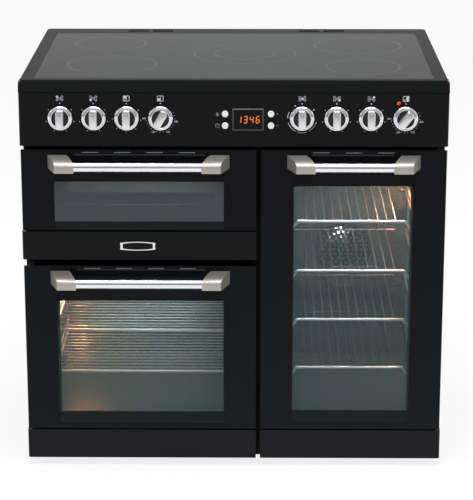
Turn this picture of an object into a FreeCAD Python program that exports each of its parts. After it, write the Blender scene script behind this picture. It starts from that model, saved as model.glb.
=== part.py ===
import FreeCAD, Part
import math
import os
import re

import Sketcher
from FreeCAD import Placement, Rotation, Vector

# A 900 mm range cooker: ceramic hob, drop-down grill door, a side-hung main oven door under it
# and a tall side-hung oven door on the right.
# Frame: +X to the cooker's right as seen from the front, -Y towards the cook, +Z up.
# The origin is on the floor, under the middle of the whole cooker.

# Driving dimensions, millimetres and degrees.
SIZES = {
    # whole cooker
    "hob_frame_inset": 3.5,
    "hob_frame_depth": 595,
    "hob_setback": 8,
    "handle_reach": 50,
    "case_inset": 3,
    "back_overhang": 30,
    "sheet_steel": 1.5,
    "chassis_drop": 10,
    # heights of the front, from the floor up
    "foot_height": 18,
    "plinth_height": 65,
    "plinth_gap": 3,
    "main_door_height": 371,
    "badge_panel_gap": 14,
    "badge_panel_height": 62,
    "grill_door_gap": 3,
    "grill_door_height": 176,
    "fascia_gap": 8,
    "fascia_height": 114,
    "trim_seam": 1,
    "trim_band_height": 21,
    "hob_edge_height": 4,
    # widths of the front
    "left_door_width": 496,
    "tall_door_width": 391,
    "centre_gap": 9,
    "door_side_gap": 2,
    "front_corner_radius": 6,
    "front_wall": 2,
    # feet
    "foot_radius": 18,
    "foot_stem_radius": 5,
    "foot_stem_height": 30,
    "foot_hole_clearance": 0.4,
    "foot_inset_x": 70,
    "foot_inset_front": 35,
    "foot_inset_back": 75,
    # doors
    "door_thickness": 40,
    "glass_thickness": 4,
    "door_wall": 2,
    "door_rim": 6,
    "grill_door_rim_bottom": 9,
    "frame_gap": 4,
    "frame_steel": 2,
    "window_side_margin": 69,
    "window_top_margin": 76,
    "window_bottom_margin": 14,
    "grill_window_top_margin": 69,
    "grill_window_bottom_margin": 9,
    "window_inset": 2,
    "window_rise": 8,
    "pane_overlap": 12,
    "vent_slot_length": 34,
    "vent_slot_width": 5,
    "vent_slot_pitch": 68,
    # hinges
    "pivot_depth": 10.5,
    "side_pivot_inset": 12,
    "grill_pivot_height": 22,
    "pin_radius": 2.5,
    "pin_clearance": 0.08,
    "pin_engagement": 12,
    "lug_thickness": 3,
    "lug_nose": 1.5,
    "lug_clearance": 0.5,
    "lug_tail": 8,
    "boss_wall": 3.5,
    # handles
    "left_handle_length": 383,
    "tall_handle_length": 280,
    "handle_drop": 28,
    "bracket_width": 40,
    "bracket_lean": 18.5,
    "bracket_rise": 17,
    "bracket_fall": 11.5,
    "bracket_slope_drop": 4.5,
    "bracket_nose_drop": 13.5,
    "bracket_nose_radius": 6,
    "handle_bar_radius": 10.75,
    "handle_bar_inset": 11.3,
    # oven cavities
    "liner_wall": 1.5,
    "liner_flange": 12,
    "mouth_rise": 18,
    "grill_mouth_rise": 8,
    "main_cavity_width": 400,
    "main_cavity_height": 314,
    "tall_cavity_width": 300,
    "tall_cavity_height": 566,
    "grill_cavity_height": 140,
    "oven_depth": 400,
    "grill_depth": 360,
    # door seals
    "seal_width": 6,
    "seal_clearance": 0.3,
    "seal_offset": 2,
    # side runners and racks
    "upright_radius": 2.5,
    "upright_inset": 2.8,
    "rung_radius": 2,
    "rung_inset": 6.8,
    "rung_guard": 14,
    "upright_front": 45,
    "upright_back": 330,
    "rack_wire_radius": 3,
    "rack_fine_radius": 1.5,
    "rack_side_inset": 9.2,
    "rack_seat_gap": 0.3,
    "rack_front": 14,
    "rack_depth": 326,
    "rack_pitch": 19,
    "main_rack_low": 92,
    "main_rack_step": 95,
    "tall_rack_low": 86,
    "tall_rack_step": 111,
    "tall_rack_lift": 16,
    "tall_rack_ledge": 13,
    "tall_rack_shoulder": 13,
    "rack_guard_height": 18,
    "rack_guard_width": 162,
    "rack_guard_radius": 2,
    "rack_guard_bend": 6,
    "grill_rail_height": 30,
    "grill_rack_depth": 300,
    "grill_pan_width": 316,
    "grill_pan_depth": 240,
    "grill_pan_height": 22,
    "grill_pan_wall": 1.2,
    "grill_pan_setback": 22,
    # heating elements and fan
    "element_radius": 3.5,
    "element_bend": 14,
    "grill_element_drop": 16,
    "grill_element_inset": 40,
    "grill_element_runs": 6,
    "roof_element_runs": 4,
    "oven_element_drop": 20,
    "fan_height": 266,
    "fan_cover_width": 230,
    "fan_cover_rise": 200,
    "fan_cover_fall": 100,
    "fan_cover_standoff": 30,
    "fan_cover_wall": 1.2,
    "fan_cover_radius": 14,
    "fan_cover_flange": 7,
    "fan_hole_radius": 3,
    "fan_hole_pitch": 11,
    "fan_hole_rings": 6,
    "ring_element_radius": 84,
    "fan_radius": 66,
    "fan_hub_radius": 12,
    "fan_blade_count": 10,
    "fan_blade_depth": 16,
    "fan_disc_thickness": 2,
    "fan_wall_gap": 4,
    "fan_shaft_radius": 4,
    "fan_shaft_hole": 7,
    "fan_shaft_reach": 26,
    "running_clearance": 0.08,
    "motor_radius": 34,
    "motor_length": 45,
    # hob
    "hob_glass_width": 838,
    "hob_glass_depth": 518,
    "hob_glass_front": 17,
    "hob_corner_radius": 10,
    "pane_corner_radius": 1.5,
    "glass_fit_gap": 0.5,
    "hob_ledge_width": 10,
    "hob_ledge_thickness": 1.5,
    "vent_width": 47,
    "vent_depth": 26,
    "vent_inner_x": 173,
    "vent_step": 57,
    "vent_back": 30,
    "heater_height": 34,
    "heater_wall": 8,
    "heater_recess": 24,
    "heater_margin": 6,
    "tray_inset": 8,
    "zone_rear_left_radius": 80,
    "zone_rear_left_x": -284,
    "zone_rear_left_back": 410,
    "zone_front_left_radius": 96,
    "zone_front_left_x": -265,
    "zone_front_left_back": 166,
    "zone_centre_radius": 113,
    "zone_centre_x": 22,
    "zone_centre_back": 291,
    "zone_rear_right_radius": 97.5,
    "zone_rear_right_x": 277,
    "zone_rear_right_back": 386,
    "zone_front_right_radius": 80,
    "zone_front_right_x": 276.5,
    "zone_front_right_back": 144,
    # badge plate
    "badge_offset": -4,
    "badge_width": 77,
    "badge_height": 21,
    "badge_thickness": 3,
    "badge_dish_depth": 1,
    "badge_corner": 5,
    # controls
    "control_rise": 60,
    "knob_skirt_radius": 26.3,
    "knob_skirt_height": 6.5,
    "knob_rim_width": 4.5,
    "knob_recess": 2,
    "knob_grip_width": 17,
    "knob_grip_length": 38,
    "knob_grip_height": 24,
    "knob_grip_round": 4,
    "knob_mark": 4,
    "knob_mark_depth": 0.6,
    "knob_face_gap": 0.5,
    "knob_spindle_radius": 4,
    "knob_spindle_length": 24,
    "knob_hole_clearance": 0.3,
    "first_knob_inset": 87,
    "second_knob_inset": 157,
    "grill_knob_inset": 226,
    "main_oven_knob_inset": 297,
    "centre_knob_inset": 307,
    "fourth_knob_inset": 235,
    "fifth_knob_inset": 163,
    "tall_oven_knob_inset": 91,
    "main_oven_knob_turn": 30,
    "tall_oven_knob_turn": 38,
    "switch_width": 46,
    "switch_height": 40,
    "switch_depth": 34,
    "timer_x": 30,
    "timer_rise": 57.5,
    "timer_width": 67,
    "timer_height": 48,
    "timer_proud": 0.8,
    "timer_case_width": 150,
    "timer_case_height": 60,
    "timer_case_depth": 24,
    "timer_fit_gap": 0.4,
    "button_radius": 6.8,
    "button_reach": 4,
    "button_travel": 2,
    "button_gap": 0.3,
    "button_stem_radius": 3,
    "button_stem_length": 4,
    "button_side_x": 48,
    "button_half_pitch": 12.5,
    "indicator_inset": 106,
    "indicator_rise": 93,
    "indicator_radius": 2.5,
    "indicator_length": 10,
    # oven lamps
    "lamp_radius": 26,
    "lamp_reach": 14,
    "main_lamp_inset": 37,
    "main_lamp_rise": 250,
    "tall_lamp_back": 300,
    "tall_lamp_rise": 470,
    # back panel and mains inlet
    "louvre_length": 60,
    "louvre_height": 6,
    "louvre_pitch_x": 90,
    "louvre_pitch_z": 18,
    "louvre_rise": 690,
    "bracket_hole_radius": 2.75,
    "bracket_hole_spacing": 240,
    "bracket_hole_rise": 640,
    "inlet_inset": 117,
    "inlet_rise": 120,
    "inlet_box_width": 110,
    "inlet_box_height": 90,
    "inlet_box_depth": 22,
    "inlet_box_wall": 2.5,
    "gland_bore_radius": 9,
    "gland_length": 22,
}

# Places that follow from the sizes.
PLACES = {
    "total_depth": "handle_reach + hob_setback + hob_frame_depth",
    "front_y": "handle_reach - total_depth / 2",
    "hob_front_y": "front_y + hob_setback",
    "hob_back_y": "hob_front_y + hob_frame_depth",
    "glass_back_y": "front_y + glass_thickness",
    "door_back_y": "front_y + door_thickness",
    "frame_y": "door_back_y + frame_gap",
    "liner_y": "frame_y + frame_steel",
    "back_y": "hob_back_y - back_overhang",
    "overall_width": "left_door_width + centre_gap + tall_door_width + 2 * door_side_gap",
    "hob_frame_width": "overall_width - 2 * hob_frame_inset",
    "case_width": "overall_width - 2 * case_inset",
    "case_half": "case_width / 2",
    "inner_half": "case_half - sheet_steel",
    "front_half": "overall_width / 2",
    "plinth_bottom": "foot_height",
    "plinth_top": "plinth_bottom + plinth_height",
    "chassis_bottom": "plinth_bottom - chassis_drop",
    "main_bottom": "plinth_top + plinth_gap",
    "main_top": "main_bottom + main_door_height",
    "badge_bottom": "main_top + badge_panel_gap",
    "badge_top": "badge_bottom + badge_panel_height",
    "grill_bottom": "badge_top + grill_door_gap",
    "grill_top": "grill_bottom + grill_door_height",
    "fascia_bottom": "grill_top + fascia_gap",
    "fascia_top": "fascia_bottom + fascia_height",
    "band_bottom": "fascia_top + trim_seam",
    "band_top": "band_bottom + trim_band_height",
    "hob_top": "band_top + hob_edge_height",
    "left_door_left": "door_side_gap - front_half",
    "left_door_right": "left_door_left + left_door_width",
    "tall_door_left": "left_door_right + centre_gap",
    "tall_door_right": "front_half - door_side_gap",
    "left_centre": "(left_door_left + left_door_right) / 2",
    "tall_centre": "(tall_door_left + tall_door_right) / 2",
    "pivot_y": "front_y + pivot_depth",
    "main_pivot_x": "left_door_left + side_pivot_inset",
    "tall_pivot_x": "tall_door_right - side_pivot_inset",
    "grill_pivot_z": "grill_bottom + grill_pivot_height",
    "main_mouth_left": "left_centre - main_cavity_width / 2",
    "main_mouth_right": "left_centre + main_cavity_width / 2",
    "main_mouth_bottom": "main_bottom + mouth_rise",
    "main_mouth_top": "main_mouth_bottom + main_cavity_height",
    "grill_mouth_bottom": "grill_bottom + grill_mouth_rise",
    "grill_mouth_top": "grill_mouth_bottom + grill_cavity_height",
    "tall_mouth_left": "tall_centre - tall_cavity_width / 2",
    "tall_mouth_right": "tall_centre + tall_cavity_width / 2",
    "tall_mouth_bottom": "main_bottom + mouth_rise",
    "tall_mouth_top": "tall_mouth_bottom + tall_cavity_height",
    "oven_back_y": "liner_y + oven_depth",
    "grill_back_y": "liner_y + grill_depth",
    "rack_front_y": "liner_y + rack_front",
    "rack_back_y": "rack_front_y + rack_depth",
    "fan_z": "tall_mouth_bottom + fan_height",
    "fan_cover_y": "oven_back_y - fan_cover_standoff",
    "glass_front_y": "hob_front_y + hob_glass_front",
    "glass_bottom": "hob_top - glass_thickness",
    "heater_bottom": "glass_bottom - heater_height",
    "control_z": "fascia_bottom + control_rise",
    "fascia_back_y": "front_y + front_wall",
    "timer_z": "fascia_bottom + timer_rise",
    "badge_x": "left_centre + badge_offset",
    "first_knob_x": "first_knob_inset - front_half",
    "second_knob_x": "second_knob_inset - front_half",
    "grill_knob_x": "grill_knob_inset - front_half",
    "main_oven_knob_x": "main_oven_knob_inset - front_half",
    "centre_knob_x": "front_half - centre_knob_inset",
    "fourth_knob_x": "front_half - fourth_knob_inset",
    "fifth_knob_x": "front_half - fifth_knob_inset",
    "tall_oven_knob_x": "front_half - tall_oven_knob_inset",
    "indicator_x": "front_half - indicator_inset",
    "main_lamp_x": "main_mouth_left + main_lamp_inset",
    "inlet_x": "case_half - inlet_inset",
}

doc = FreeCAD.newDocument("range_cooker")
sheet_of = {alias: "Sizes." for alias in SIZES}
sheet_of.update({alias: "Places." for alias in PLACES})


def link(text):
    """The expression with the name of its sheet before every size and place."""
    return re.sub(r"[a-z][a-z_]*", lambda word: sheet_of.get(word.group(), "") + word.group(), text)


def fill_sheet(name, cells):
    sheet = doc.addObject("Spreadsheet::Sheet", name)
    for row, (alias, content) in enumerate(cells.items(), start=1):
        sheet.set(f"A{row}", alias)
        sheet.set(f"B{row}", content)
        sheet.setAlias(f"B{row}", alias)
    return sheet


sizes = fill_sheet("Sizes", {alias: str(value) for alias, value in SIZES.items()})
places = fill_sheet("Places", {alias: "=" + link(text) for alias, text in PLACES.items()})
doc.recompute()


def number(text):
    """The value of an expression, for the shapes that are made point by point."""
    return float(sizes.evalExpression(link(text)))


def point(x, y, z):
    return Vector(number(x), number(y), number(z))


# ---------------------------------------------------------------- general helpers

nodes = []


def node(label, piece):
    """Give a finished piece its name; its solids go to one file of that name."""
    piece.Label = label
    nodes.append(piece)
    return piece


def put(piece, x, y, z):
    for axis, text in zip("xyz", (x, y, z)):
        piece.setExpression("Placement.Base." + axis, link(text))
    return piece


def block(name, x, y, z):
    """A block between two expressions along each axis."""
    piece = doc.addObject("Part::Box", name)
    for side, (low, high) in zip(("Length", "Width", "Height"), (x, y, z)):
        piece.setExpression(side, link(f"({high}) - ({low})"))
    return put(piece, x[0], y[0], z[0])


AXIS_TURNS = {
    "x": Rotation(Vector(0, 1, 0), 90),
    "y": Rotation(Vector(1, 0, 0), -90),
    "z": Rotation(),
}


def rod(name, axis, radius, start, length):
    """A cylinder that runs from start along +axis."""
    piece = doc.addObject("Part::Cylinder", name)
    piece.Placement = Placement(Vector(), AXIS_TURNS[axis])
    piece.setExpression("Radius", link(radius))
    piece.setExpression("Height", link(length))
    return put(piece, *start)


def fuse(name, pieces):
    whole = doc.addObject("Part::MultiFuse", name)
    whole.Shapes = pieces
    return whole


def cut(name, base, tools):
    """The base less one or more tools."""
    whole = doc.addObject("Part::Cut", name)
    whole.Base = base
    whole.Tool = tools[0] if len(tools) == 1 else fuse(name + "_tools", tools)
    return whole


def group(name, pieces):
    """Separate solids that share a file."""
    whole = doc.addObject("Part::Compound", name)
    whole.Links = pieces
    return whole


def shaped(name, shape):
    piece = doc.addObject("Part::Feature", name)
    piece.Shape = shape
    return piece


def runs_along(edge, axis):
    """True for a straight edge that is parallel to the axis."""
    if not isinstance(edge.Curve, Part.Line):
        return False
    return abs(edge.tangentAt(edge.FirstParameter).dot(axis)) > 0.999


def rounded(name, base, radius, axis, chosen=lambda edge: True):
    """The base with its edges along the axis rounded."""
    doc.recompute()
    piece = doc.addObject("Part::Fillet", name)
    piece.Base = base
    size = number(radius)
    piece.Edges = [
        (index, size, size)
        for index, edge in enumerate(base.Shape.Edges, start=1)
        if runs_along(edge, axis) and chosen(edge)
    ]
    return piece


def new_body(name):
    return doc.addObject("PartDesign::Body", name)


def sketch_on(body, name, role, offset="0"):
    """A sketch on one of the body's own origin planes, lifted by an offset."""
    sketch = body.newObject("Sketcher::SketchObject", name)
    plane = next(item for item in body.Origin.OriginFeatures if item.Role == role)
    sketch.AttachmentSupport = (plane, "")
    sketch.MapMode = "FlatFace"
    sketch.setExpression("AttachmentOffset.Base.z", link(offset))
    return sketch


def outline(sketch, corners):
    """A closed outline of straight runs; two expressions hold each corner."""
    first = sketch.GeometryCount
    values = [Vector(number(across), number(up), 0) for across, up in corners]
    for index, start in enumerate(values):
        sketch.addGeometry(Part.LineSegment(start, values[(index + 1) % len(values)]))
    for index, (across, up) in enumerate(corners):
        line = first + index
        following = first + (index + 1) % len(corners)
        sketch.addConstraint(Sketcher.Constraint("Coincident", line, 2, following, 1))
        for kind, text in (("DistanceX", across), ("DistanceY", up)):
            held = sketch.addConstraint(Sketcher.Constraint(kind, -1, 1, line, 1, number(text)))
            sketch.setExpression(f"Constraints[{held}]", link(text))
    return sketch


def rectangle(sketch, left, right, low, high):
    return outline(sketch, [(left, low), (right, low), (right, high), (left, high)])


def circle(sketch, across, up, radius):
    index = sketch.addGeometry(
        Part.Circle(Vector(number(across), number(up), 0), Vector(0, 0, 1), number(radius))
    )
    held = sketch.addConstraint(Sketcher.Constraint("Radius", index, number(radius)))
    sketch.setExpression(f"Constraints[{held}]", link(radius))
    for kind, text in (("DistanceX", across), ("DistanceY", up)):
        held = sketch.addConstraint(Sketcher.Constraint(kind, -1, 1, index, 3, number(text)))
        sketch.setExpression(f"Constraints[{held}]", link(text))
    return sketch


def pad(body, name, sketch, length):
    feature = body.newObject("PartDesign::Pad", name)
    feature.Profile = sketch
    feature.setExpression("Length", link(length))
    return feature


def pocket(body, name, sketch, depth, through=False):
    """A pocket that cuts back along the sketch's own normal."""
    feature = body.newObject("PartDesign::Pocket", name)
    feature.Profile = sketch
    if through:
        feature.Type = "ThroughAll"
        feature.Midplane = True
    else:
        feature.setExpression("Length", link(depth))
    return feature


def round_body(body, name, radius, chosen):
    """Round the edges of the body's last feature that the test picks."""
    doc.recompute()
    base = body.Tip
    picked = [f"Edge{i}" for i, edge in enumerate(base.Shape.Edges, start=1) if chosen(edge)]
    feature = body.newObject("PartDesign::Fillet", name)
    feature.Base = (base, picked)
    feature.setExpression("Radius", link(radius))
    return feature


def repeat_around(body, name, feature, axis_role, count):
    """Repeat a feature in a full turn about one of the body's own axes."""
    pattern = body.newObject("PartDesign::PolarPattern", name)
    pattern.Originals = [feature]
    axis = next(item for item in body.Origin.OriginFeatures if item.Role == axis_role)
    pattern.Axis = (axis, [""])
    pattern.Angle = 360
    pattern.Occurrences = count
    body.Tip = pattern
    return pattern


def repeat_along(body, name, feature, axis_role, length, count):
    """Repeat a feature in a row; the length is from the first copy to the last."""
    pattern = body.newObject("PartDesign::LinearPattern", name)
    pattern.Originals = [feature]
    axis = next(item for item in body.Origin.OriginFeatures if item.Role == axis_role)
    pattern.Direction = (axis, [""])
    pattern.setExpression("Length", link(length))
    pattern.Occurrences = count
    body.Tip = pattern
    return pattern


def wire(start, end, radius):
    """A straight round wire between two points."""
    return Part.makeCylinder(radius, (end - start).Length, start, end - start)


def bent_tube(corners, radius, bend):
    """A round tube along straight runs joined by tangent arcs."""
    edges = []
    last = corners[0]
    for before, corner, after in zip(corners, corners[1:], corners[2:]):
        back = (before - corner).normalize()
        on = (after - corner).normalize()
        half = back.getAngle(on) / 2
        reach = bend / math.tan(half)
        start = corner + back * reach
        end = corner + on * reach
        middle = corner + (back + on).normalize() * (bend / math.sin(half) - bend)
        edges.append(Part.LineSegment(last, start).toShape())
        edges.append(Part.Arc(start, middle, end).toShape())
        last = end
    edges.append(Part.LineSegment(last, corners[-1]).toShape())
    path = Part.Wire(edges)
    section = Part.Wire([Part.makeCircle(radius, corners[0], corners[1] - corners[0])])
    return path.makePipeShell([section], True, False)


def closed_tube(corners, radius, bend):
    """The same round tube in a closed loop; it starts in the middle of its last run."""
    middle = (corners[0] + corners[-1]) / 2
    return bent_tube([middle, *corners, middle], radius, bend)


# ---------------------------------------------------------------- case


def side_panel(label, inner, outer):
    y = ("frame_y", "back_y")
    return node(label, block(label + "_sheet", (inner, outer), y, ("chassis_bottom", "band_top")))


def case():
    side_panel("side_panel_left", "-case_half", "-inner_half")
    side_panel("side_panel_right", "inner_half", "case_half")
    base_panel()
    back_panel()
    front_frame()
    levelling_feet()
    plinths()


def foot_places():
    near = "frame_y + foot_inset_front"
    far = "back_y - foot_inset_back"
    return [
        (x, y)
        for x in ("-case_half + foot_inset_x", "case_half - foot_inset_x")
        for y in (near, far)
    ]


def base_panel():
    floor = block(
        "base_floor",
        ("-inner_half", "inner_half"),
        ("liner_y", "back_y - sheet_steel"),
        ("chassis_bottom", "chassis_bottom + sheet_steel"),
    )
    holes = [
        rod(
            f"foot_hole_{index}",
            "z",
            "foot_stem_radius + foot_hole_clearance",
            (x, y, "chassis_bottom - 1"),
            "sheet_steel + 2",
        )
        for index, (x, y) in enumerate(foot_places(), start=1)
    ]
    node("base_panel", cut("base_panel_cut", floor, holes))


def levelling_feet():
    feet = []
    for index, (x, y) in enumerate(foot_places(), start=1):
        disc = rod(f"foot_disc_{index}", "z", "foot_radius", (x, y, "0"), "chassis_bottom")
        stem = rod(
            f"foot_stem_{index}",
            "z",
            "foot_stem_radius",
            (x, y, "0"),
            "chassis_bottom + foot_stem_height",
        )
        feet.append(fuse(f"foot_{index}", [disc, stem]))
    node("levelling_feet", group("feet", feet))


def back_panel():
    skin = block(
        "back_skin",
        ("-inner_half", "inner_half"),
        ("back_y - sheet_steel", "back_y"),
        ("chassis_bottom", "band_top"),
    )
    openings = []
    through = ("back_y - sheet_steel - 1", "back_y + 1")
    for row in range(3):
        for column in range(-3, 4):
            middle = f"{column} * louvre_pitch_x"
            low = f"foot_height + louvre_rise + {row} * louvre_pitch_z"
            openings.append(
                block(
                    f"louvre_{row}_{column + 4}",
                    (f"{middle} - louvre_length / 2", f"{middle} + louvre_length / 2"),
                    through,
                    (low, f"{low} + louvre_height"),
                )
            )
    for side in (-1, 1):
        openings.append(
            rod(
                f"stability_hole_{side + 2}",
                "y",
                "bracket_hole_radius",
                (
                    f"{side} * bracket_hole_spacing / 2",
                    "back_y - sheet_steel - 1",
                    "foot_height + bracket_hole_rise",
                ),
                "sheet_steel + 2",
            )
        )
    node("back_panel", cut("back_panel_cut", skin, openings))
    mains_inlet()


def mains_inlet():
    """Terminal box on the back, with a gland for the mains cable in its underside."""
    left = "inlet_x - inlet_box_width / 2"
    right = "inlet_x + inlet_box_width / 2"
    low = "foot_height + inlet_rise"
    high = "foot_height + inlet_rise + inlet_box_height"
    shell = block("inlet_shell", (left, right), ("back_y", "back_y + inlet_box_depth"), (low, high))
    hollow = block(
        "inlet_hollow",
        (f"{left} + inlet_box_wall", f"{right} - inlet_box_wall"),
        ("back_y", "back_y + inlet_box_depth - inlet_box_wall"),
        (f"{low} + inlet_box_wall", f"{high} - inlet_box_wall"),
    )
    gland_y = "back_y + inlet_box_depth / 2"
    neck = rod(
        "gland_neck",
        "z",
        "inlet_box_depth / 2",
        ("inlet_x", gland_y, f"{low} - gland_length"),
        "gland_length + inlet_box_wall",
    )
    bore = rod(
        "gland_bore",
        "z",
        "gland_bore_radius",
        ("inlet_x", gland_y, f"{low} - gland_length - 1"),
        "gland_length + inlet_box_wall + 2",
    )
    box = fuse("inlet_walls", [cut("inlet_box", shell, [hollow]), neck])
    node("mains_inlet_box", cut("mains_inlet", box, [bore]))


def mouth(name, left, right, bottom, top):
    return block(name, (left, right), ("frame_y - 1", "liner_y + 1"), (bottom, top))


def front_frame():
    """One pressed sheet behind the doors, with a mouth for each cavity."""
    sheet = block(
        "front_sheet",
        ("-inner_half", "inner_half"),
        ("frame_y", "liner_y"),
        ("chassis_bottom", "fascia_bottom + front_wall"),
    )
    mouths = [
        mouth("grill_mouth", "main_mouth_left", "main_mouth_right", "grill_mouth_bottom", "grill_mouth_top"),
        mouth("main_mouth", "main_mouth_left", "main_mouth_right", "main_mouth_bottom", "main_mouth_top"),
        mouth("tall_mouth", "tall_mouth_left", "tall_mouth_right", "tall_mouth_bottom", "tall_mouth_top"),
    ]
    node("front_frame", cut("front_frame_cut", sheet, mouths))


def tray_front(name, x, z, wall="front_wall"):
    """A folded panel: a face with its edges turned back to the front frame."""
    skin = block(name + "_skin", x, ("front_y", "frame_y"), z)
    corners = rounded(
        name + "_corners",
        skin,
        "front_corner_radius",
        Vector(0, 0, 1),
        lambda edge: edge.CenterOfMass.y < number("front_y") + 1
        and abs(abs(edge.CenterOfMass.x) - number("front_half")) < 1,
    )
    hollow = block(
        name + "_hollow",
        (f"{x[0]} + {wall}", f"{x[1]} - {wall}"),
        (f"front_y + {wall}", "frame_y"),
        (f"{z[0]} + {wall}", f"{z[1]} - {wall}"),
    )
    inner = rounded(
        name + "_inner",
        hollow,
        f"front_corner_radius - {wall}",
        Vector(0, 0, 1),
        lambda edge: edge.CenterOfMass.y < number(f"front_y + {wall}") + 1
        and abs(abs(edge.CenterOfMass.x) - number("front_half")) < 4,
    )
    return cut(name + "_tray", corners, [inner])


def plinths():
    left = tray_front("plinth_left", ("-front_half", "left_door_right"), ("plinth_bottom", "plinth_top"))
    right = tray_front("plinth_right", ("tall_door_left", "front_half"), ("plinth_bottom", "plinth_top"))
    node("plinth_panels", group("plinths", [left, right]))
    badge = tray_front("badge_panel", ("-front_half", "left_door_right"), ("badge_bottom", "badge_top"))
    node("badge_panel", badge)
    badge_plate()


def badge_plate():
    """A blank oblong plate with a raised rim."""
    body = new_body("badge_plate_body")
    put(body, "badge_x", "front_y", "(badge_bottom + badge_top) / 2")
    face = sketch_on(body, "badge_outline", "XZ_Plane")
    rectangle(face, "-badge_width / 2", "badge_width / 2", "-badge_height / 2", "badge_height / 2")
    pad(body, "badge_slab", face, "badge_thickness")
    round_body(body, "badge_corners", "badge_corner", lambda edge: runs_along(edge, Vector(0, 1, 0)))
    dish = sketch_on(body, "badge_dish_outline", "XZ_Plane", "badge_thickness")
    inset = "badge_thickness"
    rectangle(
        dish,
        f"-badge_width / 2 + {inset}",
        f"badge_width / 2 - {inset}",
        f"-badge_height / 2 + {inset}",
        f"badge_height / 2 - {inset}",
    )
    pocket(body, "badge_dish", dish, "badge_dish_depth")
    node("badge_plate", body)


# ---------------------------------------------------------------- hob


def hob():
    hob_frame()
    hob_glass()
    radiant_heaters()
    upper_trim_band()


def hob_frame():
    """Pressed steel surround with the glass opening, a ledge under it and four vents at the back."""
    body = new_body("hob_frame_plate")
    put(body, "0", "hob_front_y", "band_top")
    plate = sketch_on(body, "hob_plate_outline", "XY_Plane")
    rectangle(plate, "-hob_frame_width / 2", "hob_frame_width / 2", "0", "hob_frame_depth")
    pad(body, "hob_plate", plate, "hob_edge_height")
    round_body(body, "hob_plate_corners", "hob_corner_radius", lambda edge: runs_along(edge, Vector(0, 0, 1)))
    opening = sketch_on(body, "glass_opening_outline", "XY_Plane")
    rectangle(
        opening,
        "-hob_glass_width / 2",
        "hob_glass_width / 2",
        "hob_glass_front",
        "hob_glass_front + hob_glass_depth",
    )
    pocket(body, "glass_opening", opening, "hob_edge_height", through=True)
    for side, start in ((-1, "-vent_inner_x - vent_step"), (1, "vent_inner_x")):
        vent = sketch_on(body, f"vent_outline_{side + 2}", "XY_Plane")
        rectangle(
            vent,
            f"{start} - vent_width / 2",
            f"{start} + vent_width / 2",
            "hob_frame_depth - vent_back - vent_depth / 2",
            "hob_frame_depth - vent_back + vent_depth / 2",
        )
        slot = pocket(body, f"vent_{side + 2}", vent, "hob_edge_height", through=True)
        repeat_along(body, f"vent_pair_{side + 2}", slot, "X_Axis", "vent_step", 2)
    ledge_low = "glass_bottom - hob_ledge_thickness"
    ledge = block(
        "hob_ledge_sheet",
        ("-hob_glass_width / 2 - hob_ledge_width", "hob_glass_width / 2 + hob_ledge_width"),
        ("glass_front_y - hob_ledge_width / 2", "glass_front_y + hob_glass_depth + hob_ledge_width"),
        (ledge_low, "glass_bottom"),
    )
    gap = block(
        "hob_ledge_gap",
        ("-hob_glass_width / 2 + hob_ledge_width", "hob_glass_width / 2 - hob_ledge_width"),
        ("glass_front_y + hob_ledge_width", "glass_front_y + hob_glass_depth - hob_ledge_width"),
        (f"{ledge_low} - 1", "glass_bottom + 1"),
    )
    node("hob_frame", fuse("hob_surround", [body, cut("hob_ledge", ledge, [gap])]))


def hob_glass():
    pane = block(
        "hob_pane",
        ("-hob_glass_width / 2 + glass_fit_gap", "hob_glass_width / 2 - glass_fit_gap"),
        ("glass_front_y + glass_fit_gap", "glass_front_y + hob_glass_depth - glass_fit_gap"),
        ("glass_bottom", "hob_top"),
    )
    node("hob_glass", rounded("hob_pane_corners", pane, "pane_corner_radius", Vector(0, 0, 1)))


ZONES = ("rear_left", "front_left", "centre", "rear_right", "front_right")


def radiant_heaters():
    """Heater bowls pressed up under the glass, on a sheet tray that hangs from the ledge."""
    heaters = []
    for zone in ZONES:
        place = (f"zone_{zone}_x", f"hob_front_y + zone_{zone}_back")
        bowl = rod(
            f"heater_bowl_{zone}",
            "z",
            f"zone_{zone}_radius + heater_margin",
            (*place, "heater_bottom"),
            "heater_height",
        )
        hollow = rod(
            f"heater_hollow_{zone}",
            "z",
            f"zone_{zone}_radius + heater_margin - heater_wall",
            (*place, "glass_bottom - heater_recess"),
            "heater_recess",
        )
        heaters.append(cut(f"heater_{zone}", bowl, [hollow]))
    node("radiant_heaters", group("heaters", heaters))
    low = "heater_bottom - sheet_steel"
    x = ("-hob_glass_width / 2 + tray_inset", "hob_glass_width / 2 - tray_inset")
    y = ("glass_front_y + tray_inset", "glass_front_y + hob_glass_depth - tray_inset")
    top = "glass_bottom - hob_ledge_thickness"
    shell = block("tray_shell", x, y, (low, top))
    hollow = block(
        "tray_hollow",
        (f"{x[0]} + sheet_steel", f"{x[1]} - sheet_steel"),
        (f"{y[0]} + sheet_steel", f"{y[1]} - sheet_steel"),
        ("heater_bottom", top),
    )
    node("hob_tray", cut("tray", shell, [hollow]))


def upper_trim_band():
    """The sloping strip between the hob's front edge and the control fascia."""
    body = new_body("band_profile")
    put(body, "-front_half", "0", "0")
    section = sketch_on(body, "band_section", "YZ_Plane")
    outline(
        section,
        [
            ("front_y", "band_bottom"),
            ("frame_y", "band_bottom"),
            ("frame_y", "band_top"),
            ("hob_front_y", "band_top"),
            ("front_y", "band_bottom + front_wall"),
        ],
    )
    pad(body, "band_length", section, "overall_width")
    hollow = block(
        "band_hollow",
        ("-front_half + front_wall + hob_setback", "front_half - front_wall - hob_setback"),
        ("hob_front_y + front_wall", "frame_y"),
        ("band_bottom + front_wall", "band_top - front_wall"),
    )
    ledge_room = block(
        "band_ledge_room",
        ("-front_half + front_wall + hob_setback", "front_half - front_wall - hob_setback"),
        ("glass_front_y - hob_ledge_width", "frame_y"),
        ("band_bottom - 1", "band_top + 1"),
    )
    node("upper_trim_band", cut("band", body, [hollow, ledge_room]))


# ---------------------------------------------------------------- controls

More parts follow.
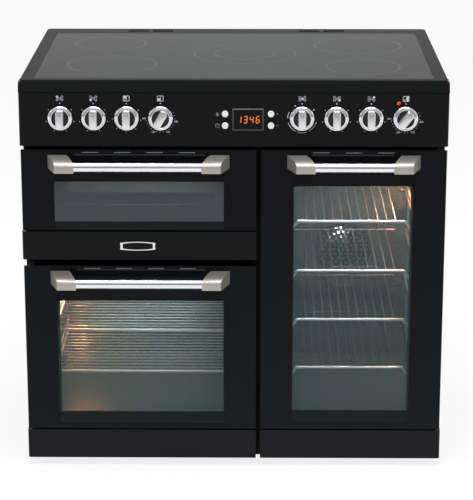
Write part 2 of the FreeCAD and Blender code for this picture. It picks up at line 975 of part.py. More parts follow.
KNOBS = (
    # node, place along the fascia, turn from upright in degrees
    ("rear_left_zone_knob", "first_knob_x", "0"),
    ("front_left_zone_knob", "second_knob_x", "0"),
    ("grill_knob", "grill_knob_x", "0"),
    ("main_oven_knob", "main_oven_knob_x", "main_oven_knob_turn"),
    ("centre_zone_knob", "centre_knob_x", "0"),
    ("front_right_zone_knob", "fourth_knob_x", "0"),
    ("rear_right_zone_knob", "fifth_knob_x", "0"),
    ("tall_oven_knob", "tall_oven_knob_x", "tall_oven_knob_turn"),
)

BUTTONS = (
    # node, side of the timer window, row above or below its middle
    ("upper_left_timer_button", -1, 1),
    ("lower_left_timer_button", -1, -1),
    ("upper_right_timer_button", 1, 1),
    ("lower_right_timer_button", 1, -1),
)


def controls():
    control_fascia()
    for label, x, turn in KNOBS:
        knob(label, x, turn)
    switches_and_timer()
    for label, side, row in BUTTONS:
        timer_button(label, side, row)


def button_place(side, row):
    return (f"timer_x + {side} * button_side_x", f"timer_z + {row} * button_half_pitch")


def control_fascia():
    panel = tray_front("fascia", ("-front_half", "front_half"), ("fascia_bottom", "fascia_top"))
    depth = "front_wall + 2"
    start = "front_y - 1"
    holes = [
        rod(label + "_hole", "y", "knob_spindle_radius + knob_hole_clearance", (x, start, "control_z"), depth)
        for label, x, turn in KNOBS
    ]
    for label, side, row in BUTTONS:
        x, z = button_place(side, row)
        holes.append(rod(label + "_hole", "y", "button_radius + button_gap", (x, start, z), depth))
    holes.append(
        rod(
            "indicator_hole",
            "y",
            "indicator_radius + timer_fit_gap",
            ("indicator_x", start, "fascia_bottom + indicator_rise"),
            depth,
        )
    )
    holes.append(
        block(
            "timer_hole",
            (
                "timer_x - timer_width / 2 - timer_fit_gap",
                "timer_x + timer_width / 2 + timer_fit_gap",
            ),
            (start, "fascia_back_y + 1"),
            (
                "timer_z - timer_height / 2 - timer_fit_gap",
                "timer_z + timer_height / 2 + timer_fit_gap",
            ),
        )
    )
    holes.append(
        block(
            "fascia_tray_room",
            ("-front_half + front_wall + hob_setback", "front_half - front_wall - hob_setback"),
            ("glass_front_y - hob_ledge_width", "frame_y + 1"),
            ("fascia_top - 2 * front_wall", "fascia_top + 1"),
        )
    )
    node("control_fascia", cut("fascia_cut", panel, holes))


def knob(label, x, turn):
    """A dished skirt with a raised rim, a bar grip across it and a spindle behind."""
    facing = Rotation(Vector(0, 1, 0), number(turn)) * Rotation(Vector(1, 0, 0), 90)
    skirt = new_body(label + "_skirt_body")
    skirt.Placement = Placement(Vector(), facing)
    put(skirt, x, "front_y", "control_z")
    profile = sketch_on(skirt, label + "_profile", "XZ_Plane")
    rim = "knob_skirt_radius - knob_rim_width"
    outline(
        profile,
        [
            ("0", "-knob_spindle_length"),
            ("knob_spindle_radius", "-knob_spindle_length"),
            ("knob_spindle_radius", "knob_face_gap"),
            ("knob_skirt_radius", "knob_face_gap"),
            ("knob_skirt_radius", "knob_skirt_height - knob_recess"),
            ("knob_skirt_radius - knob_recess", "knob_skirt_height"),
            (rim, "knob_skirt_height"),
            (f"{rim} - knob_recess / 2", "knob_skirt_height - knob_recess"),
            ("0", "knob_skirt_height - knob_recess"),
        ],
    )
    turned = skirt.newObject("PartDesign::Revolution", label + "_skirt")
    turned.Profile = profile
    turned.ReferenceAxis = (profile, ["V_Axis"])
    turned.Angle = 360
    grip = new_body(label + "_grip_body")
    grip.Placement = Placement(Vector(), facing)
    put(grip, x, "front_y", "control_z")
    foot = "knob_skirt_height - knob_recess - 1"
    plan = sketch_on(grip, label + "_grip_outline", "XY_Plane", foot)
    half_width = "knob_grip_width / 2"
    half_length = "knob_grip_length / 2"
    rectangle(plan, f"-{half_width}", half_width, f"-{half_length}", half_length)
    pad(grip, label + "_grip", plan, f"knob_grip_height - ({foot})")

    def upright(edge):
        return runs_along(edge, Vector(0, 0, 1))

    round_body(grip, label + "_grip_corners", "knob_grip_round", upright)
    mark = sketch_on(grip, label + "_mark_outline", "XY_Plane", "knob_grip_height")
    mark_top = f"{half_length} - knob_grip_round / 2"
    rectangle(mark, "-knob_mark / 2", "knob_mark / 2", f"{mark_top} - knob_mark", mark_top)
    pocket(grip, label + "_mark", mark, "knob_mark_depth")
    node(label, fuse(label + "_whole", [skirt, grip]))


def switches_and_timer():
    """Rotary switches behind the knobs, and the timer's electronics box behind its window."""
    units = []
    for label, x, turn in KNOBS:
        case_block = block(
            label + "_switch_case",
            (f"{x} - switch_width / 2", f"{x} + switch_width / 2"),
            ("fascia_back_y", "fascia_back_y + switch_depth"),
            ("control_z - switch_height / 2", "control_z + switch_height / 2"),
        )
        bore = rod(
            label + "_switch_bore",
            "y",
            "knob_spindle_radius + running_clearance",
            (x, "fascia_back_y - 1", "control_z"),
            "knob_spindle_length + 2",
        )
        units.append(cut(label + "_switch", case_block, [bore]))
    back = "fascia_back_y + button_travel + button_stem_length"
    units.append(
        block(
            "timer_case",
            ("timer_x - timer_case_width / 2", "timer_x + timer_case_width / 2"),
            (back, f"{back} + timer_case_depth"),
            ("timer_z - timer_case_height / 2", "timer_z + timer_case_height / 2"),
        )
    )
    node("switch_units", group("switches", units))
    window = block(
        "timer_pane",
        ("timer_x - timer_width / 2", "timer_x + timer_width / 2"),
        ("front_y - timer_proud", back),
        ("timer_z - timer_height / 2", "timer_z + timer_height / 2"),
    )
    node("timer_window", rounded("timer_pane_corners", window, "timer_proud", Vector(0, 1, 0)))


def timer_button(label, side, row):
    """A round push button; its stem reaches back to the timer box over the travel."""
    x, z = button_place(side, row)
    start = (x, "front_y - button_reach", z)
    cap = rod(label + "_cap", "y", "button_radius", start, "button_reach + front_wall")
    stem = rod(
        label + "_stem",
        "y",
        "button_stem_radius",
        (x, "fascia_back_y", z),
        "button_stem_length - button_gap",
    )
    node(label, fuse(label + "_button", [cap, stem]))


# ---------------------------------------------------------------- oven cavities


def liner(label, x, z, back, extra_cuts=()):
    """An enamelled box, open at the front, with a flange that seats on the front frame."""
    wall = "liner_wall"
    shell = block(
        label + "_shell",
        (f"{x[0]} - {wall}", f"{x[1]} + {wall}"),
        ("liner_y", f"{back} + {wall}"),
        (f"{z[0]} - {wall}", f"{z[1]} + {wall}"),
    )
    flange = block(
        label + "_flange",
        (f"{x[0]} - liner_flange", f"{x[1]} + liner_flange"),
        ("liner_y", f"liner_y + {wall}"),
        (f"{z[0]} - liner_flange", f"{z[1]} + liner_flange"),
    )
    hollow = block(label + "_hollow", x, ("liner_y - 1", back), z)
    node(label, cut(label + "_cut", fuse(label + "_walls", [shell, flange]), [hollow, *extra_cuts]))


def cavities():
    main_x = ("main_mouth_left", "main_mouth_right")
    main_z = ("main_mouth_bottom", "main_mouth_top")
    tall_x = ("tall_mouth_left", "tall_mouth_right")
    tall_z = ("tall_mouth_bottom", "tall_mouth_top")
    liner("grill_liner", main_x, ("grill_mouth_bottom", "grill_mouth_top"), "grill_back_y")
    liner("main_oven_liner", main_x, main_z, "oven_back_y")
    shaft_hole = rod(
        "shaft_hole",
        "y",
        "fan_shaft_hole",
        ("tall_centre", "oven_back_y - 1", "fan_z"),
        "liner_wall + 2",
    )
    liner("tall_oven_liner", tall_x, tall_z, "oven_back_y", [shaft_hole])
    heating_elements()
    tall_oven_fan()
    side_runners()
    racks()
    grill_pan()
    seals()
    lamp_lenses()


def serpentine(left, right, front, back, height, passes):
    """Corner points of a loop that runs to and fro, with both ends at the back wall."""
    step = (right - left) / (passes - 1)
    corners = [Vector(left, number(back), height)]
    for index in range(passes):
        across = left + index * step
        deep = number(f"{back} - grill_element_inset")
        ends = (deep, front) if index % 2 == 0 else (front, deep)
        corners += [Vector(across, ends[0], height), Vector(across, ends[1], height)]
    corners.pop(1)
    corners[-1] = Vector(right, number(back), height)
    return corners


def heating_elements():
    """Tubular elements: grill, main oven roof and floor, and the ring round the fan."""
    inset = number("grill_element_inset")
    left = number("main_mouth_left") + inset
    right = number("main_mouth_right") - inset
    front = number("liner_y") + inset
    radius = number("element_radius")
    bend = number("element_bend")
    grill_z = number("grill_mouth_top - grill_element_drop")
    grill_runs = int(number("grill_element_runs"))
    grill = bent_tube(serpentine(left, right, front, "grill_back_y", grill_z, grill_runs), radius, bend)
    roof_z = number("main_mouth_top - oven_element_drop")
    roof_runs = int(number("roof_element_runs"))
    roof = bent_tube(serpentine(left, right, front, "oven_back_y", roof_z, roof_runs), radius, bend)
    floor_z = number("main_mouth_bottom - liner_wall") - radius - number("seal_clearance")
    back = number("oven_back_y") - inset
    floor = closed_tube(
        [
            Vector(left, front, floor_z),
            Vector(right, front, floor_z),
            Vector(right, back, floor_z),
            Vector(left, back, floor_z),
        ],
        radius,
        bend,
    )
    ring_y = number("oven_back_y - fan_wall_gap") - number("fan_blade_depth") / 2
    centre = Vector(number("tall_centre"), ring_y, number("fan_z"))
    ring = Part.makeTorus(number("ring_element_radius"), radius, centre, Vector(0, 1, 0))
    tail_z = number("fan_z") + number("ring_element_radius")
    tail_end = number("oven_back_y") - ring_y
    tail = Part.makeCylinder(radius, tail_end, Vector(centre.x, ring_y, tail_z), Vector(0, 1, 0))
    parts = [
        shaped("grill_element_tube", grill),
        shaped("roof_element_tube", roof),
        shaped("floor_element_tube", floor),
        shaped("ring_element_tube", ring.fuse(tail)),
    ]
    node("heating_elements", group("elements", parts))


def tall_oven_fan():
    fan_cover()
    body = new_body("fan_impeller_body")
    put(body, "tall_centre", "oven_back_y - fan_wall_gap", "fan_z")
    disc = sketch_on(body, "fan_disc_outline", "XZ_Plane")
    circle(disc, "0", "0", "fan_radius")
    pad(body, "fan_disc", disc, "fan_disc_thickness")
    hub = sketch_on(body, "fan_hub_outline", "XZ_Plane")
    circle(hub, "0", "0", "fan_hub_radius")
    pad(body, "fan_hub", hub, "fan_blade_depth")
    blade = sketch_on(body, "fan_blade_outline", "XZ_Plane")
    half_blade = "fan_disc_thickness / 2"
    rectangle(blade, "fan_hub_radius - 1", "fan_radius - 1", f"-{half_blade}", half_blade)
    first_blade = pad(body, "fan_blade", blade, "fan_blade_depth")
    repeat_around(body, "fan_blades", first_blade, "Y_Axis", int(number("fan_blade_count")))
    shaft = sketch_on(body, "fan_shaft_outline", "XZ_Plane")
    circle(shaft, "0", "0", "fan_shaft_radius")
    rear = pad(body, "fan_shaft", shaft, "fan_wall_gap + fan_shaft_reach")
    rear.Reversed = True
    node("fan_impeller", body)
    can = rod(
        "motor_can",
        "y",
        "motor_radius",
        ("tall_centre", "oven_back_y + liner_wall", "fan_z"),
        "motor_length",
    )
    bore = rod(
        "motor_bore",
        "y",
        "fan_shaft_radius + running_clearance",
        ("tall_centre", "oven_back_y + liner_wall - 1", "fan_z"),
        "fan_shaft_reach + 2",
    )
    node("fan_motor", cut("motor", can, [bore]))


def fan_cover():
    """A shallow box on the back wall, perforated in rings in front of the fan."""
    body = new_body("fan_cover_body")
    put(body, "tall_centre", "fan_cover_y", "fan_z")
    half_width = "fan_cover_width / 2"
    low = "-fan_cover_fall"
    high = "fan_cover_rise"
    face = sketch_on(body, "cover_outline", "XZ_Plane")
    rectangle(face, f"-{half_width}", half_width, low, high)
    box = pad(body, "cover_box", face, "fan_cover_standoff")
    box.Reversed = True
    round_body(body, "cover_corners", "fan_cover_radius", lambda edge: runs_along(edge, Vector(0, 1, 0)))
    flange = "fan_cover_flange"
    inside = sketch_on(body, "cover_hollow_outline", "XZ_Plane", "-fan_cover_wall")
    rectangle(
        inside,
        f"-{half_width} + {flange}",
        f"{half_width} - {flange}",
        f"{low} + {flange}",
        f"{high} - {flange}",
    )
    pocket(body, "cover_hollow", inside, "fan_cover_standoff")
    for ring in range(int(number("fan_hole_rings"))):
        holes = sketch_on(body, f"cover_hole_{ring}", "XZ_Plane")
        circle(holes, f"{ring} * fan_hole_pitch", "0", "fan_hole_radius")
        first = pocket(body, f"cover_ring_{ring}", holes, "fan_cover_wall * 2")
        if ring:
            repeat_around(body, f"cover_rings_{ring}", first, "Y_Axis", 6 * ring)
    node("fan_cover", body)


def ladder(wall_x, inward, levels):
    """Two uprights on a side wall and, at each level, a rung under the rack and one above it."""
    radius = number("upright_radius")
    rung = number("rung_radius")
    upright_x = wall_x + inward * number("upright_inset")
    rung_x = wall_x + inward * number("rung_inset")
    near = number("liner_y + upright_front")
    far = number("liner_y + upright_back")
    touch = number("rack_wire_radius + rack_seat_gap + rung_radius")
    seat = math.sqrt(touch**2 - number("rack_side_inset - rung_inset") ** 2)
    guard = number("rung_guard")
    low = min(levels) - 2 * guard
    high = max(levels) + 2 * guard
    pieces = [wire(Vector(upright_x, y, low), Vector(upright_x, y, high), radius) for y in (near, far)]
    reach = number("upright_front") / 2
    for level in levels:
        for z in (level - seat, level + guard):
            pieces.append(wire(Vector(rung_x, near - reach, z), Vector(rung_x, far + reach, z), rung))
    return pieces[0].multiFuse(pieces[1:])


def rack_levels(kind, count):
    lowest = number(f"{kind}_mouth_bottom + {kind}_rack_low")
    step = number(f"{kind}_rack_step")
    return [lowest + index * step for index in range(count)]


def side_runners():
    parts = []
    for kind, count in (("main", 2), ("tall", 4)):
        levels = rack_levels(kind, count)
        for side, inward in (("left", 1), ("right", -1)):
            frame = ladder(number(f"{kind}_mouth_{side}"), inward, levels)
            parts.append(shaped(f"{kind}_{side}_ladder", frame))
    rail_top = "grill_mouth_bottom + grill_rail_height - rack_wire_radius - rack_seat_gap"
    for side, sign in (("left", 1), ("right", -1)):
        wall = f"main_mouth_{side}"
        inner = f"{wall} + {sign} * (rack_side_inset + rack_wire_radius)"
        x = (wall, inner) if sign > 0 else (inner, wall)
        y = ("rack_front_y", "rack_front_y + grill_rack_depth")
        parts.append(block(f"grill_{side}_rail", x, y, (f"{rail_top} - 2 * rung_radius", rail_top)))
    node("side_runners", group("runners", parts))


def wire_rack(left, right, front, back, z, across):
    """A framed rack; its fine wires run across, or from front to back."""
    thick = number("rack_wire_radius")
    fine = number("rack_fine_radius")
    bend = number("element_bend")
    corners = [Vector(left, front, z), Vector(right, front, z), Vector(right, back, z), Vector(left, back, z)]
    pieces = []
    lift = Vector(0, 0, fine)
    pitch = number("rack_pitch")
    span = (back - front) if across else (right - left)
    count = int(span / pitch)
    for index in range(1, count):
        at = index * span / count
        if across:
            ends = (Vector(left, front + at, z), Vector(right, front + at, z))
        else:
            ends = (Vector(left + at, front, z), Vector(left + at, back, z))
        pieces.append(wire(ends[0] + lift, ends[1] + lift, fine))
    return closed_tube(corners, thick, bend).multiFuse(pieces)


def raised_rack(left, right, front, back, z):
    """A rack whose side wires run low on the rungs and whose wire deck stands above them."""
    thick = number("rack_wire_radius")
    fine = number("rack_fine_radius")
    lift = number("tall_rack_lift")
    ledge = number("tall_rack_ledge")
    top = z + lift
    inner_left = left + ledge + number("tall_rack_shoulder")
    inner_right = right - ledge - number("tall_rack_shoulder")
    pieces = [
        wire(Vector(x, front, z), Vector(x, back, z), thick)
        for x in (left, right)
    ]
    for y in (front, back):
        knees = [
            Vector(left, y, z),
            Vector(left + ledge, y, z),
            Vector(inner_left, y, top),
            Vector(inner_right, y, top),
            Vector(right - ledge, y, z),
            Vector(right, y, z),
        ]
        pieces += [wire(a, b, thick) for a, b in zip(knees, knees[1:])]
        pieces += [Part.makeSphere(thick, corner) for corner in knees]
    pitch = number("rack_pitch")
    count = int((inner_right - inner_left) / pitch)
    for index in range(1, count):
        x = inner_left + index * (inner_right - inner_left) / count
        pieces.append(wire(Vector(x, front, top + fine), Vector(x, back, top + fine), fine))
    return pieces[0].multiFuse(pieces[1:])


def rear_guard(left, right, back, z):
    """The low rail that stands on the rear wire of a raised rack and stops dishes sliding off."""
    foot = z + number("tall_rack_lift + rack_wire_radius")
    top = foot + number("rack_guard_height")
    guard_left = (left + right - number("rack_guard_width")) / 2
    guard_right = left + right - guard_left
    rail = [
        Vector(guard_left, back, foot),
        Vector(guard_left, back, top),
        Vector(guard_right, back, top),
        Vector(guard_right, back, foot),
    ]
    return bent_tube(rail, number("rack_guard_radius"), number("rack_guard_bend"))


def racks():
    inset = number("rack_side_inset")
    front = number("rack_front_y") + number("rack_wire_radius")
    back = number("rack_back_y") - number("rack_wire_radius")
    left = number("main_mouth_left") + inset
    right = number("main_mouth_right") - inset
    shelves = [
        shaped(f"main_rack_{index}", wire_rack(left, right, front, back, z, True))
        for index, z in enumerate(rack_levels("main", 2), start=1)
    ]
    node("main_oven_racks", group("main_racks", shelves))
    tall_left = number("tall_mouth_left") + inset
    tall_right = number("tall_mouth_right") - inset
    shelves = [
        shaped(f"tall_rack_{index}", raised_rack(tall_left, tall_right, front, back, z))
        for index, z in enumerate(rack_levels("tall", 4), start=1)
    ]
    guards = [
        shaped(f"tall_guard_{index}", rear_guard(tall_left, tall_right, back, z))
        for index, z in enumerate(rack_levels("tall", 4), start=1)
    ]
    node("tall_oven_racks", group("tall_racks", [*shelves, *guards]))
    grill_z = number("grill_mouth_bottom + grill_rail_height")
    grill_back = front + number("grill_rack_depth - 2 * rack_wire_radius")
    shelf = wire_rack(left, right, front, grill_back, grill_z, False)
    node("grill_rack", shaped("grill_shelf", shelf))


def grill_pan():
    low = "grill_mouth_bottom + grill_rail_height + rack_wire_radius + rack_seat_gap"
    x = ("left_centre - grill_pan_width / 2", "left_centre + grill_pan_width / 2")
    y = ("rack_front_y + grill_pan_setback", "rack_front_y + grill_pan_setback + grill_pan_depth")
    wall = "grill_pan_wall"
    shell = block("pan_shell", x, y, (low, f"{low} + grill_pan_height"))
    rim = block(
        "pan_rim",
        (f"{x[0]} - 4 * {wall}", f"{x[1]} + 4 * {wall}"),
        (f"{y[0]} - 4 * {wall}", f"{y[1]} + 4 * {wall}"),
        (f"{low} + grill_pan_height - {wall}", f"{low} + grill_pan_height"),
    )
    hollow = block(
        "pan_hollow",
        (f"{x[0]} + {wall}", f"{x[1]} - {wall}"),
        (f"{y[0]} + {wall}", f"{y[1]} - {wall}"),
        (f"{low} + {wall}", f"{low} + grill_pan_height + 1"),
    )
    node("grill_pan", cut("pan", fuse("pan_walls", [shell, rim]), [hollow]))


def seal_ring(name, x, z):
    """A flat ring round a cavity mouth, just short of the closed door."""
    y = ("door_back_y + seal_clearance", "frame_y")
    near = "seal_offset"
    far = "seal_offset + seal_width"
    outer_x = (f"{x[0]} - ({far})", f"{x[1]} + {far}")
    outer_z = (f"{z[0]} - ({far})", f"{z[1]} + {far}")
    outer = block(name + "_outer", outer_x, y, outer_z)
    inner = block(
        name + "_inner",
        (f"{x[0]} - {near}", f"{x[1]} + {near}"),
        (f"{y[0]} - 1", f"{y[1]} + 1"),
        (f"{z[0]} - {near}", f"{z[1]} + {near}"),
    )
    return cut(name, outer, [inner])


def seals():
    """Both ovens have a full ring; the grill's seal leaves its lower edge free for the hinge."""
    main_x = ("main_mouth_left", "main_mouth_right")
    main = seal_ring("main_seal", main_x, ("main_mouth_bottom", "main_mouth_top"))
    tall_x = ("tall_mouth_left", "tall_mouth_right")
    tall = seal_ring("tall_seal", tall_x, ("tall_mouth_bottom", "tall_mouth_top"))
    ring = seal_ring("grill_seal_ring", main_x, ("grill_mouth_bottom", "grill_mouth_top"))
    reach = "(seal_offset + seal_width + 1)"
    swing = "2 * grill_pivot_z - grill_bottom - grill_door_rim_bottom"
    free = block(
        "grill_seal_gap",
        (f"main_mouth_left - {reach}", f"main_mouth_right + {reach}"),
        ("door_back_y - 1", "frame_y + 1"),
        (f"grill_mouth_bottom - {reach}", f"{swing} + seal_offset"),
    )
    node("door_seals", group("seals", [cut("grill_seal", ring, [free]), main, tall]))


def lamp_lenses():
    """Glass covers of the two oven lamps, and the red neon lens in the fascia."""
    main = rod(
        "main_lamp",
        "y",
        "lamp_radius",
        ("main_lamp_x", "oven_back_y - lamp_reach", "main_mouth_bottom + main_lamp_rise"),
        "lamp_reach",
    )
    tall = rod(
        "tall_lamp",
        "x",
        "lamp_radius",
        ("tall_mouth_right - lamp_reach", "liner_y + tall_lamp_back", "tall_mouth_bottom + tall_lamp_rise"),
        "lamp_reach",
    )
    neon = rod(
        "neon_lens",
        "y",
        "indicator_radius",
        ("indicator_x", "front_y - timer_proud", "fascia_bottom + indicator_rise"),
        "indicator_length",
    )
    collar = rod(
        "neon_collar",
        "y",
        "indicator_radius * 2",
        ("indicator_x", "fascia_back_y", "fascia_bottom + indicator_rise"),
        "indicator_length / 2",
    )
    node("lamp_lenses", group("lamps", [main, tall, fuse("neon", [neon, collar])]))


# ---------------------------------------------------------------- doors


def window_hole(name, door):
    side = "(window_side_margin + window_inset)"
    return block(
        name,
        (f"{door['left']} + {side}", f"{door['right']} - {side}"),
        ("door_back_y - door_wall - 1", "door_back_y + 1"),
        (
            f"{door['bottom']} + {door['window_low']} + window_rise",
            f"{door['top']} - {door['window_high']} + window_inset",
        ),
    )


def vent_slots(name, door, count):
    """A row of slots in the top wall of the door frame."""
    middle = f"({door['left']} + {door['right']}) / 2"
    slots = []
    for index in range(count):
        centre = f"{middle} + ({index} - {count - 1} / 2) * vent_slot_pitch"
        slots.append(
            block(
                f"{name}_{index + 1}",
                (f"{centre} - vent_slot_length / 2", f"{centre} + vent_slot_length / 2"),
                ("glass_back_y + vent_slot_width", "glass_back_y + 2 * vent_slot_width"),
                (f"{door['top']} - door_rim - door_wall - 1", f"{door['top']} - door_rim + 1"),
            )
        )
    return slots


def door(name, door_data, bosses, bores):
    """Outer pane, steel tray behind it, inner pane against the tray's back wall, and the handle."""
    x = (door_data["left"], door_data["right"])
    z = (door_data["bottom"], door_data["top"])
    pane = block(name + "_pane", x, ("front_y", "glass_back_y"), z)
    node(name + "_glass", rounded(name + "_pane_corners", pane, "door_wall", Vector(0, 1, 0)))
    rim_low = door_data["rim_low"]
    tray_x = (f"{x[0]} + door_rim", f"{x[1]} - door_rim")
    tray_z = (f"{z[0]} + {rim_low}", f"{z[1]} - door_rim")
    shell = block(name + "_tray_shell", tray_x, ("glass_back_y", "door_back_y"), tray_z)
    hollow = block(
        name + "_tray_hollow",
        (f"{tray_x[0]} + door_wall", f"{tray_x[1]} - door_wall"),
        ("glass_back_y - 1", "door_back_y - door_wall"),
        (f"{tray_z[0]} + door_wall", f"{tray_z[1]} - door_wall"),
    )
    tray = cut(name + "_tray", shell, [hollow])
    slots = vent_slots(name + "_slot", door_data, door_data["slots"])
    tools = [window_hole(name + "_window", door_data), *slots]
    whole = fuse(name + "_tray_and_bosses", [tray, *bosses])
    node(name + "_frame", cut(name + "_frame_cut", whole, [*tools, *bores]))
    margin = "window_side_margin + window_inset - pane_overlap"
    inner = block(
        name + "_inner_pane",
        (f"{x[0]} + {margin}", f"{x[1]} - ({margin})"),
        ("door_back_y - door_wall - glass_thickness", "door_back_y - door_wall"),
        (
            f"{z[0]} + {rim_low} + door_wall",
            f"{z[1]} - {door_data['window_high']} + window_inset + pane_overlap",
        ),
    )
    node(name + "_inner_glass", inner)
    handle(name, door_data)


def bracket_side(name, outward, base_x, middle_z):
    """One end bracket: a leaning plan and a nose that curves down, as two prisms in common."""
    plan_body = new_body(name + "_plan")
    put(plan_body, base_x, "front_y", middle_z)
    plan = sketch_on(plan_body, name + "_plan_outline", "XY_Plane", "-bracket_fall")
    width = f"{-outward} * bracket_width"
    lean = f"{-outward} * bracket_lean"
    outline(plan, [("0", "0"), (width, "0"), (f"{width} + {lean}", "-handle_reach"), (lean, "-handle_reach")])
    pad(plan_body, name + "_plan_prism", plan, "bracket_rise + bracket_fall")
    side_body = new_body(name + "_side")
    put(side_body, base_x, "front_y", middle_z)
    section = sketch_on(side_body, name + "_side_outline", "YZ_Plane", "-bracket_width * 2")
    outline(
        section,
        [
            ("0", "-bracket_fall"),
            ("0", "bracket_rise"),
            ("-handle_reach + 2 * bracket_nose_radius", "bracket_rise - bracket_slope_drop"),
            ("-handle_reach", "bracket_rise - bracket_nose_drop"),
            ("-handle_reach", "-bracket_fall"),
        ],
    )
    pad(side_body, name + "_side_prism", section, "bracket_width * 4")
    reach = number("handle_reach")
    round_body(
        side_body,
        name + "_nose",
        "bracket_nose_radius",
        lambda edge: runs_along(edge, Vector(1, 0, 0))
        and edge.CenterOfMass.z > number("0")
        and edge.CenterOfMass.y < -reach / 2,
    )
    both = doc.addObject("Part::MultiCommon", name)
    both.Shapes = [plan_body, side_body]
    return both


def handle(name, data):
    middle = f"({data['left']} + {data['right']}) / 2"
    half = f"{data['handle_length']} / 2"
    z = f"{data['top']} - handle_drop"
    left = bracket_side(name + "_left_bracket", -1, f"{middle} - {half}", z)
    right = bracket_side(name + "_right_bracket", 1, f"{middle} + {half}", z)
    node(name + "_handle_brackets", group(name + "_brackets", [left, right]))
    lean_at_bar = "(bracket_lean * (handle_reach - handle_bar_inset) / handle_reach)"
    start = f"{middle} - {half} + bracket_width / 2 + {lean_at_bar}"
    bar = rod(
        name + "_bar_blank",
        "x",
        "handle_bar_radius",
        (start, "front_y - handle_reach + handle_bar_inset", z),
        f"{data['handle_length']} - bracket_width - 2 * {lean_at_bar}",
    )
    node(name + "_handle_bar", cut(name + "_bar", bar, [left, right]))


def hinge_lug(name, axis, pivot, low, high, tail_side, pin_low, pin_high):
    """A plate from the front frame with a round nose, and the pin it holds."""
    thickness = f"({high}) - ({low})"
    nose = "pin_radius + lug_nose"
    x, z = pivot
    if axis == "x":
        start = (low, "pivot_y", z)
        pin_start = (pin_low, "pivot_y", z)
        heights = (f"{z} - ({nose})", f"{z} + lug_tail")
        plate = block(name + "_plate", (low, high), ("pivot_y", "frame_y"), heights)
        hole_start = (f"{low} - 1", "pivot_y", z)
    else:
        start = (x, "pivot_y", low)
        pin_start = (x, "pivot_y", pin_low)
        hole_start = (x, "pivot_y", f"{low} - 1")
        if tail_side > 0:
            sides = (f"{x} - ({nose})", f"{x} + lug_tail")
        else:
            sides = (f"{x} - lug_tail", f"{x} + {nose}")
        plate = block(name + "_plate", sides, ("pivot_y", "frame_y"), (low, high))
    tip = rod(name + "_nose", axis, nose, start, thickness)
    hole = rod(name + "_hole", axis, "pin_radius + pin_clearance", hole_start, f"{thickness} + 2")
    pin = rod(name + "_pin", axis, "pin_radius", pin_start, f"({pin_high}) - ({pin_low})")
    return [cut(name + "_lug", fuse(name + "_body", [plate, tip]), [hole]), pin]


def hinge_boss(name, x, z):
    """A block inside the door frame, behind the outer pane, that takes a pin."""
    y = ("glass_back_y", "pivot_y + pin_radius + boss_wall")
    return block(name, x, y, z)


def side_hung_door(name, data, pivot_x, tail_side):
    """A door on a vertical pin at its top and another at its bottom."""
    half = "(pin_radius + boss_wall)"
    reach = "pin_engagement + lug_clearance + 2"
    low = f"{data['bottom']} + door_rim"
    high = f"{data['top']} - door_rim"
    x = (f"{pivot_x} - {half}", f"{pivot_x} + {half}")
    bosses = [
        hinge_boss(name + "_low_boss", x, (low, f"{low} + {reach}")),
        hinge_boss(name + "_high_boss", x, (f"{high} - ({reach})", high)),
    ]
    radius = "pin_radius + pin_clearance"
    depth = "pin_engagement + 1 + lug_clearance"
    bores = [
        rod(name + "_low_bore", "z", radius, (pivot_x, "pivot_y", f"{low} - 1"), depth),
        rod(
            name + "_high_bore",
            "z",
            radius,
            (pivot_x, "pivot_y", f"{high} - pin_engagement - lug_clearance"),
            depth,
        ),
    ]
    door(name, data, bosses, bores)
    low_top = f"{low} - lug_clearance"
    high_bottom = f"{high} + lug_clearance"
    bottom_parts = hinge_lug(
        name + "_low_hinge",
        "z",
        (pivot_x, ""),
        f"{low_top} - lug_thickness",
        low_top,
        tail_side,
        f"{low_top} - lug_thickness",
        f"{low} + pin_engagement",
    )
    top_parts = hinge_lug(
        name + "_high_hinge",
        "z",
        (pivot_x, ""),
        high_bottom,
        f"{high_bottom} + lug_thickness",
        tail_side,
        f"{high} - pin_engagement",
        f"{high_bottom} + lug_thickness",
    )
    return bottom_parts + top_parts


def drop_down_door(name, data):
    """The grill door, on a level pin at each lower corner."""
    half = "(pin_radius + boss_wall)"
    reach = "pin_engagement + lug_clearance + 2"
    left = f"{data['left']} + door_rim"
    right = f"{data['right']} - door_rim"
    z = (f"grill_pivot_z - {half}", f"grill_pivot_z + {half}")
    bosses = [
        hinge_boss(name + "_left_boss", (left, f"{left} + {reach}"), z),
        hinge_boss(name + "_right_boss", (f"{right} - ({reach})", right), z),
    ]
    radius = "pin_radius + pin_clearance"
    length = "pin_engagement + 1 + lug_clearance"
    bores = [
        rod(name + "_left_bore", "x", radius, (f"{left} - 1", "pivot_y", "grill_pivot_z"), length),
        rod(
            name + "_right_bore",
            "x",
            radius,
            (f"{right} - pin_engagement - lug_clearance", "pivot_y", "grill_pivot_z"),
            length,
        ),
    ]
    door(name, data, bosses, bores)
    left_edge = f"{left} - lug_clearance"
    right_edge = f"{right} + lug_clearance"
    left_parts = hinge_lug(
        name + "_left_hinge",
        "x",
        ("", "grill_pivot_z"),
        f"{left_edge} - lug_thickness",
        left_edge,
        1,
        f"{left_edge} - lug_thickness",
        f"{left} + pin_engagement",
    )
    right_parts = hinge_lug(
        name + "_right_hinge",
        "x",
        ("", "grill_pivot_z"),
        right_edge,
        f"{right_edge} + lug_thickness",
        1,
        f"{right} - pin_engagement",
        f"{right_edge} + lug_thickness",
    )
    return left_parts + right_parts


GRILL_DOOR = {
    "left": "left_door_left",
    "right": "left_door_right",
    "bottom": "grill_bottom",
    "top": "grill_top",
    "rim_low": "grill_door_rim_bottom",
    "window_low": "grill_window_bottom_margin",
    "window_high": "grill_window_top_margin",
    "handle_length": "left_handle_length",
    "slots": 4,
}

